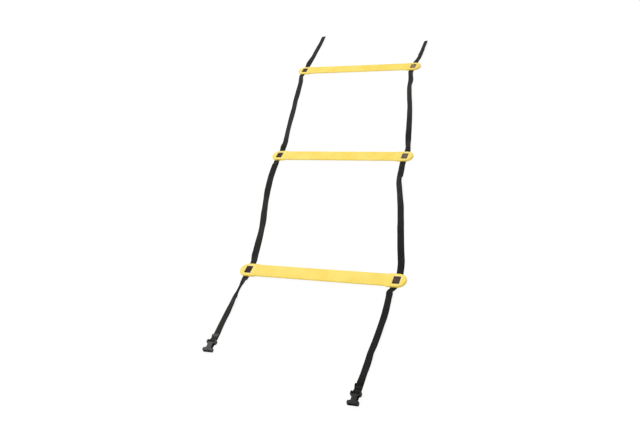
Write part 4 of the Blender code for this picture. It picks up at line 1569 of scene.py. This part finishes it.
@dataclass
class Buckle(Assembly):
    """Socket half of a buckle, with the stitches that close the webbing behind it.

    Attributes:
        side: Which strap it is on.
        thread_radius: Radius of the sewing thread.
        tack_width: Width of the zigzag across the webbing.
        tack_length: Its length along the webbing.
        tack_from_end: Distance of its middle from the cut end.
        tack_turns: How often it goes to and fro.
        dive_from: Share of the way from its middle line at which the thread starts to sink in.
    """

    side: Side
    shape: SocketShape = SocketShape()
    weld: float = 0.000002
    thread_weld: float = 0.00002
    smooth_angle: float = math.radians(40.0)
    edge_steps: int = 4
    bar_steps: int = 24
    thread_radius: float = 0.00022
    tack_width: float = 0.0130
    tack_length: float = 0.0035
    tack_from_end: float = 0.0110
    tack_turns: int = 11
    turn_steps: int = 12
    thread_steps: int = 8
    dive_from: float = 5.0 / 6.0

    def __post_init__(self) -> None:
        """Start with no block."""
        self.work = PatchWork(self.weld, self.smooth_angle)

    def plate(
        self, outline: Array, low: float, high: float, lower: float = 0.0, upper: float = 0.0
    ) -> None:
        """Add a closed block over a plan outline, with rounded lower and upper edges.

        Args:
            outline: Plan points, counter-clockwise seen from above.
            low: Height of the lower face.
            high: Height of the upper face.
            lower: Radius of the lower edge.
            upper: Radius of the upper edge.
        """
        along = unit(np.roll(outline, -1, 0) - np.roll(outline, 1, 0))
        out = np.column_stack([along[:, 1], -along[:, 0]])
        come_in, away = quarter_round(self.edge_steps)
        inset = np.r_[lower * come_in, upper * come_in[::-1]]
        height = np.r_[low + lower * away, high - upper * away[::-1]]
        grid = np.empty((len(inset), len(outline), 3))
        grid[..., :2] = outline - out * inset[:, None, None]
        grid[..., 2] = height[:, None]
        self.work.add(grid, tube=True)

    def moulding(self) -> None:
        """Add the roof, floor, mouth's rims, walls and ears of the socket."""
        shape = self.shape
        tall, body, soft = shape.half_height, shape.body_half_height, shape.edge_round
        y, half = shape.between(shape.wall_rear, shape.front, shape.waist_half)
        roof = shape.outline(y, -half, half)
        self.plate(roof, shape.cavity_top, body, shape.cavity_edge, soft)
        y, half = shape.between(shape.wall_rear, shape.front, shape.lower_waist_half)
        floor = shape.outline(y, -half, half)
        self.plate(floor, -body, -shape.cavity_top, soft, shape.cavity_edge)
        y, half = shape.between(shape.front + shape.rim_length, shape.front, shape.waist_half)
        y, half = np.where(y > shape.front, y, y - shape.proud), half + shape.proud
        rim = shape.outline(y, -half, half)
        self.plate(rim, body - soft, tall, upper=shape.rim_edge)
        self.plate(rim, -tall, -body + soft, lower=shape.rim_edge)
        inner = shape.cavity_half
        for high, low in (
            (shape.mouth_wall_rear, shape.front + shape.proud),
            (shape.wall_rear - shape.proud, shape.side_wall_front),
        ):
            y, half = shape.between(high, low, shape.waist_half)
            side = np.maximum(half - shape.proud, inner + shape.sunk)
            wall = shape.outline(y, np.full(len(y), inner), side)
            for sign in (1, -1):
                self.plate((wall * np.array([sign, 1.0]))[::sign], -body + soft, body - soft)
        y = np.array([shape.wall_rear - shape.proud, shape.wall_front])
        half = np.full(2, inner)
        reach = shape.cavity_top + shape.sunk
        self.plate(shape.outline(y, -half, half), -reach, reach)
        outer = shape.ear_half + shape.proud
        less_sine, less_cosine = quarter_round(shape.corner_steps)
        turn = np.column_stack([
            outer - shape.ear_round * less_cosine, shape.rear - shape.ear_round * less_sine
        ])
        ear = np.concatenate([
            [[shape.ear_inner, shape.ear_start], [outer, shape.ear_start]],
            turn,
            [[shape.ear_inner, shape.rear]],
        ])
        for sign in (1, -1):
            ends = (ear * np.array([sign, 1.0]))[::sign]
            self.plate(ends, -tall, tall, shape.ear_edge, shape.ear_edge)

    def bar(self) -> None:
        """Add the round strap bar from ear to ear."""
        ring = np.column_stack(circle(self.bar_steps)) * self.plan.bar_radius
        grid = np.zeros((2, self.bar_steps, 3))
        grid[..., 0] = np.array([-self.shape.bar_reach, self.shape.bar_reach])[:, None]
        grid[..., 1:] = ring[None]
        self.work.add(grid, tube=True)

    def body(self) -> bpy.types.Object:
        """The whole moulding at its place on the strap."""
        self.moulding()
        self.bar()
        self.work.points = [self.plan.on_buckle(part, self.side) for part in self.work.points]
        return self.work.piece(f"buckle_{self.side.word}_moulding", np.zeros(3))

    def stitches(self) -> bpy.types.Object:
        """Zigzag of thread across the fold: a round tube along a triangle wave."""
        plan = self.plan
        rows, columns = self.tack_turns * self.turn_steps + 1, self.thread_steps
        t = np.linspace(0.0, 1.0, rows)
        wave = 2.0 * np.abs(2.0 * ((t * self.tack_turns) % 1.0) - 1.0) - 1.0
        back = plan.pick(plan.fold_back, self.side) - self.tack_from_end
        layers = 2 * (plan.web_thickness + plan.gap) - plan.buckle_height / 2
        dive = np.clip((np.abs(wave) - self.dive_from) / (1.0 - self.dive_from), 0.0, 1.0)
        local = np.column_stack([
            (t - 0.5) * self.tack_width,
            back + wave * self.tack_length / 2,
            layers - plan.gap + self.thread_radius * (1.0 - dive),
        ])
        along = unit(np.gradient(local, axis=0))
        out = unit(np.cross(along, np.array([0.0, 0.0, 1.0])))
        cos, sin = (part[None, :, None] * self.thread_radius for part in circle(columns))
        grid = local[:, None] + out[:, None] * cos + np.cross(out, along)[:, None] * sin
        points = plan.on_buckle(grid.reshape(-1, 3), self.side)
        piece = new_piece(f"stitches_{self.side.word}", points, tube_faces(rows, columns))
        around = np.tile(np.arange(columns) / columns, rows)
        length = np.repeat(lengths_along(local), columns)
        write_map(piece, "thread", np.column_stack([length, around]))
        weld_outward(piece, self.thread_weld)
        return piece

    def build(self) -> None:
        """Make, dress and hang the buckle and its stitches."""
        word = self.side.word
        body = self.body()
        self.finishes.dress(body, self.finishes.buckle[self.side], Slot.BUCKLE)
        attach(body, f"buckle_{word}")
        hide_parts(f"buckle_{word}")
        stitches = self.stitches()
        self.finishes.dress(stitches, self.finishes.thread, Slot.THREAD)
        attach(stitches, f"near_tail_{word}")
        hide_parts(f"stitching_{word}")
        LOG.info("%s: %d points", body.name, len(body.data.vertices))


# Surroundings


@dataclass(frozen=True)
class Studio:
    """Camera, lamps and a plain white floor.

    Attributes:
        horizon_share: Light from the horizon as a share of the light overhead.
        overhead: How high a direction has to point to have the light overhead.
        right_share: How much darker the light is from the right.
        floor_keep: Share of the floor that is seen as plain light, and takes no shadow.
        floor_drop: How far the floor is below the ladder.
        key: Place, power and size of the large lamp.
        fill: The same of the weak one.
    """

    camera_place: Triple = (0.7678, -1.2495, 1.3356)
    pitch: float = math.radians(37.907)
    roll: float = math.radians(-17.098)
    yaw: float = math.radians(-29.750)
    focal_pixels: float = 773.4
    picture_width: float = 640.0
    sensor: float = 36.0
    clip_end: float = 100.0
    world_light: float = 0.90
    horizon_share: float = 0.40
    overhead: float = 0.85
    right_share: float = 1.00
    floor_size: float = 24.0
    floor_drop: float = 0.0003
    floor_tone: float = 0.92
    floor_roughness: float = 0.9
    floor_keep: float = 0.86
    floor_glow: float = 1.03
    key: tuple[Triple, float, float] = ((-1.6, 1.4, 2.6), 34.0, 2.4)
    fill: tuple[Triple, float, float] = ((1.8, -2.2, 2.2), 11.9, 2.0)

    def camera(self, origin: Pair) -> None:
        """Place the camera: turned by yaw, tipped down by pitch, then rolled about its view.

        Args:
            origin: Plan point of the near rung's middle.
        """
        cos, sin = math.cos, math.sin
        forward = Vector((
            sin(self.yaw) * cos(self.pitch), cos(self.yaw) * cos(self.pitch), -sin(self.pitch)
        ))
        level = Vector((cos(self.yaw), -sin(self.yaw), 0.0))
        upright = level.cross(forward)
        right = level * cos(self.roll) + upright * sin(self.roll)
        up = upright * cos(self.roll) - level * sin(self.roll)
        data = bpy.data.cameras.new("photo_camera")
        data.sensor_width = self.sensor
        data.sensor_fit = "HORIZONTAL"
        data.lens = self.focal_pixels / self.picture_width * self.sensor
        data.clip_end = self.clip_end
        camera = linked("photo_camera", data)
        place = Vector(self.camera_place) + Vector((*origin, 0.0))
        turn = Matrix((right, up, -forward)).transposed()
        camera.matrix_world = Matrix.Translation(place) @ turn.to_4x4()
        bpy.context.scene.camera = camera

    def floor(self) -> None:
        """A white floor that keeps part of the shadow that falls on it."""
        corners = np.array([[-1, -1, 0], [1, -1, 0], [1, 1, 0], [-1, 1, 0]]) * self.floor_size / 2
        floor = new_piece("floor", corners - np.array([0.0, 0.0, self.floor_drop]), [range(4)])
        book = NodeBook(bpy.data.materials.new("floor_white"))
        tone = (*[self.floor_tone] * 3, 1.0)
        book.set(Base_Color=tone, Roughness=self.floor_roughness, Specular_IOR_Level=0.0)
        path = book.node("LightPath").outputs
        seen = book.math("MAXIMUM", path["Is Camera Ray"], path["Is Glossy Ray"])
        seen = book.math("MAXIMUM", seen, path["Is Transmission Ray"])
        glow = book.node("Emission", (1.0, 1.0, 1.0, 1.0), self.floor_glow)
        keep = book.math("MULTIPLY", seen, self.floor_keep)
        mix = book.node("MixShader", keep, book.shader.outputs[0], glow.outputs[0])
        book.feed(book.tree.nodes["Material Output"].inputs["Surface"], mix.outputs[0])
        floor.data.materials.append(book.owner)

    def world(self) -> None:
        """White light from above, weaker low down and from the right, seen as plain white.

        The strength is the light overhead, times a share that eases from the horizon upwards,
        times one less a share of how far the direction points to the right.
        """
        world = bpy.data.worlds.new("studio")
        bpy.context.scene.world = world
        book = NodeBook(world, "Background")
        path = book.node("LightPath").outputs
        seen = book.math("MAXIMUM", path["Is Camera Ray"], path["Is Transmission Ray"])
        right, _, up = book.axes(book.node("TexCoord").outputs["Generated"])
        low = self.world_light * self.horizon_share
        rise = book.span(up, 0.0, self.overhead, low, self.world_light)
        turn = book.math("MULTIPLY_ADD", right, -self.right_share, 1.0)
        light = book.math("MULTIPLY", rise, turn)
        book.set(Color=(1.0, 1.0, 1.0, 1.0), Strength=book.span(seen, 0.0, 1.0, light, 1.0))

    def lamps(self) -> None:
        """A large soft lamp above and behind the left side, and a weak one in front."""
        for name, (place, power, size) in (("key_lamp", self.key), ("fill_lamp", self.fill)):
            data = bpy.data.lights.new(name, "AREA")
            data.energy = power
            data.shape = "DISK"
            data.size = size
            lamp = linked(name, data)
            lamp.location = place
            lamp.rotation_euler = (-Vector(place)).to_track_quat("-Z", "Y").to_euler()

    def build(self, origin: Pair) -> None:
        """Set everything round the ladder."""
        bpy.context.scene.view_settings.view_transform = "Standard"
        self.camera(origin)
        self.world()
        self.lamps()
        self.floor()


# Assembly


class AgilityLadder:
    """The whole ladder: its rungs, straps, buckles and stitches."""

    def __init__(self) -> None:
        """Read where the ladder lies and build its finishes."""
        low, high = (np.array(corner, float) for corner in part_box("rung_near"))
        middle = (low + high) / 2
        self.plan = LadderPlan(origin=(float(middle[0]), float(middle[1])))
        self.finishes = Finishes(self.plan)

    def build(self) -> None:
        """Build every sub-assembly in order."""
        for index in range(3):
            Rung(self.plan, self.finishes, index).build()
        for side in Side:
            WebbingStrap(self.plan, self.finishes, side).build()
            Buckle(self.plan, self.finishes, side).build()


def main() -> None:
    """Load the frame, dress the ladder and set the studio round it."""
    logging.basicConfig(level=logging.INFO, format="%(name)s: %(message)s")
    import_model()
    ladder = AgilityLadder()
    ladder.build()
    Studio().build(ladder.plan.origin)


if __name__ == "__main__":
    main()
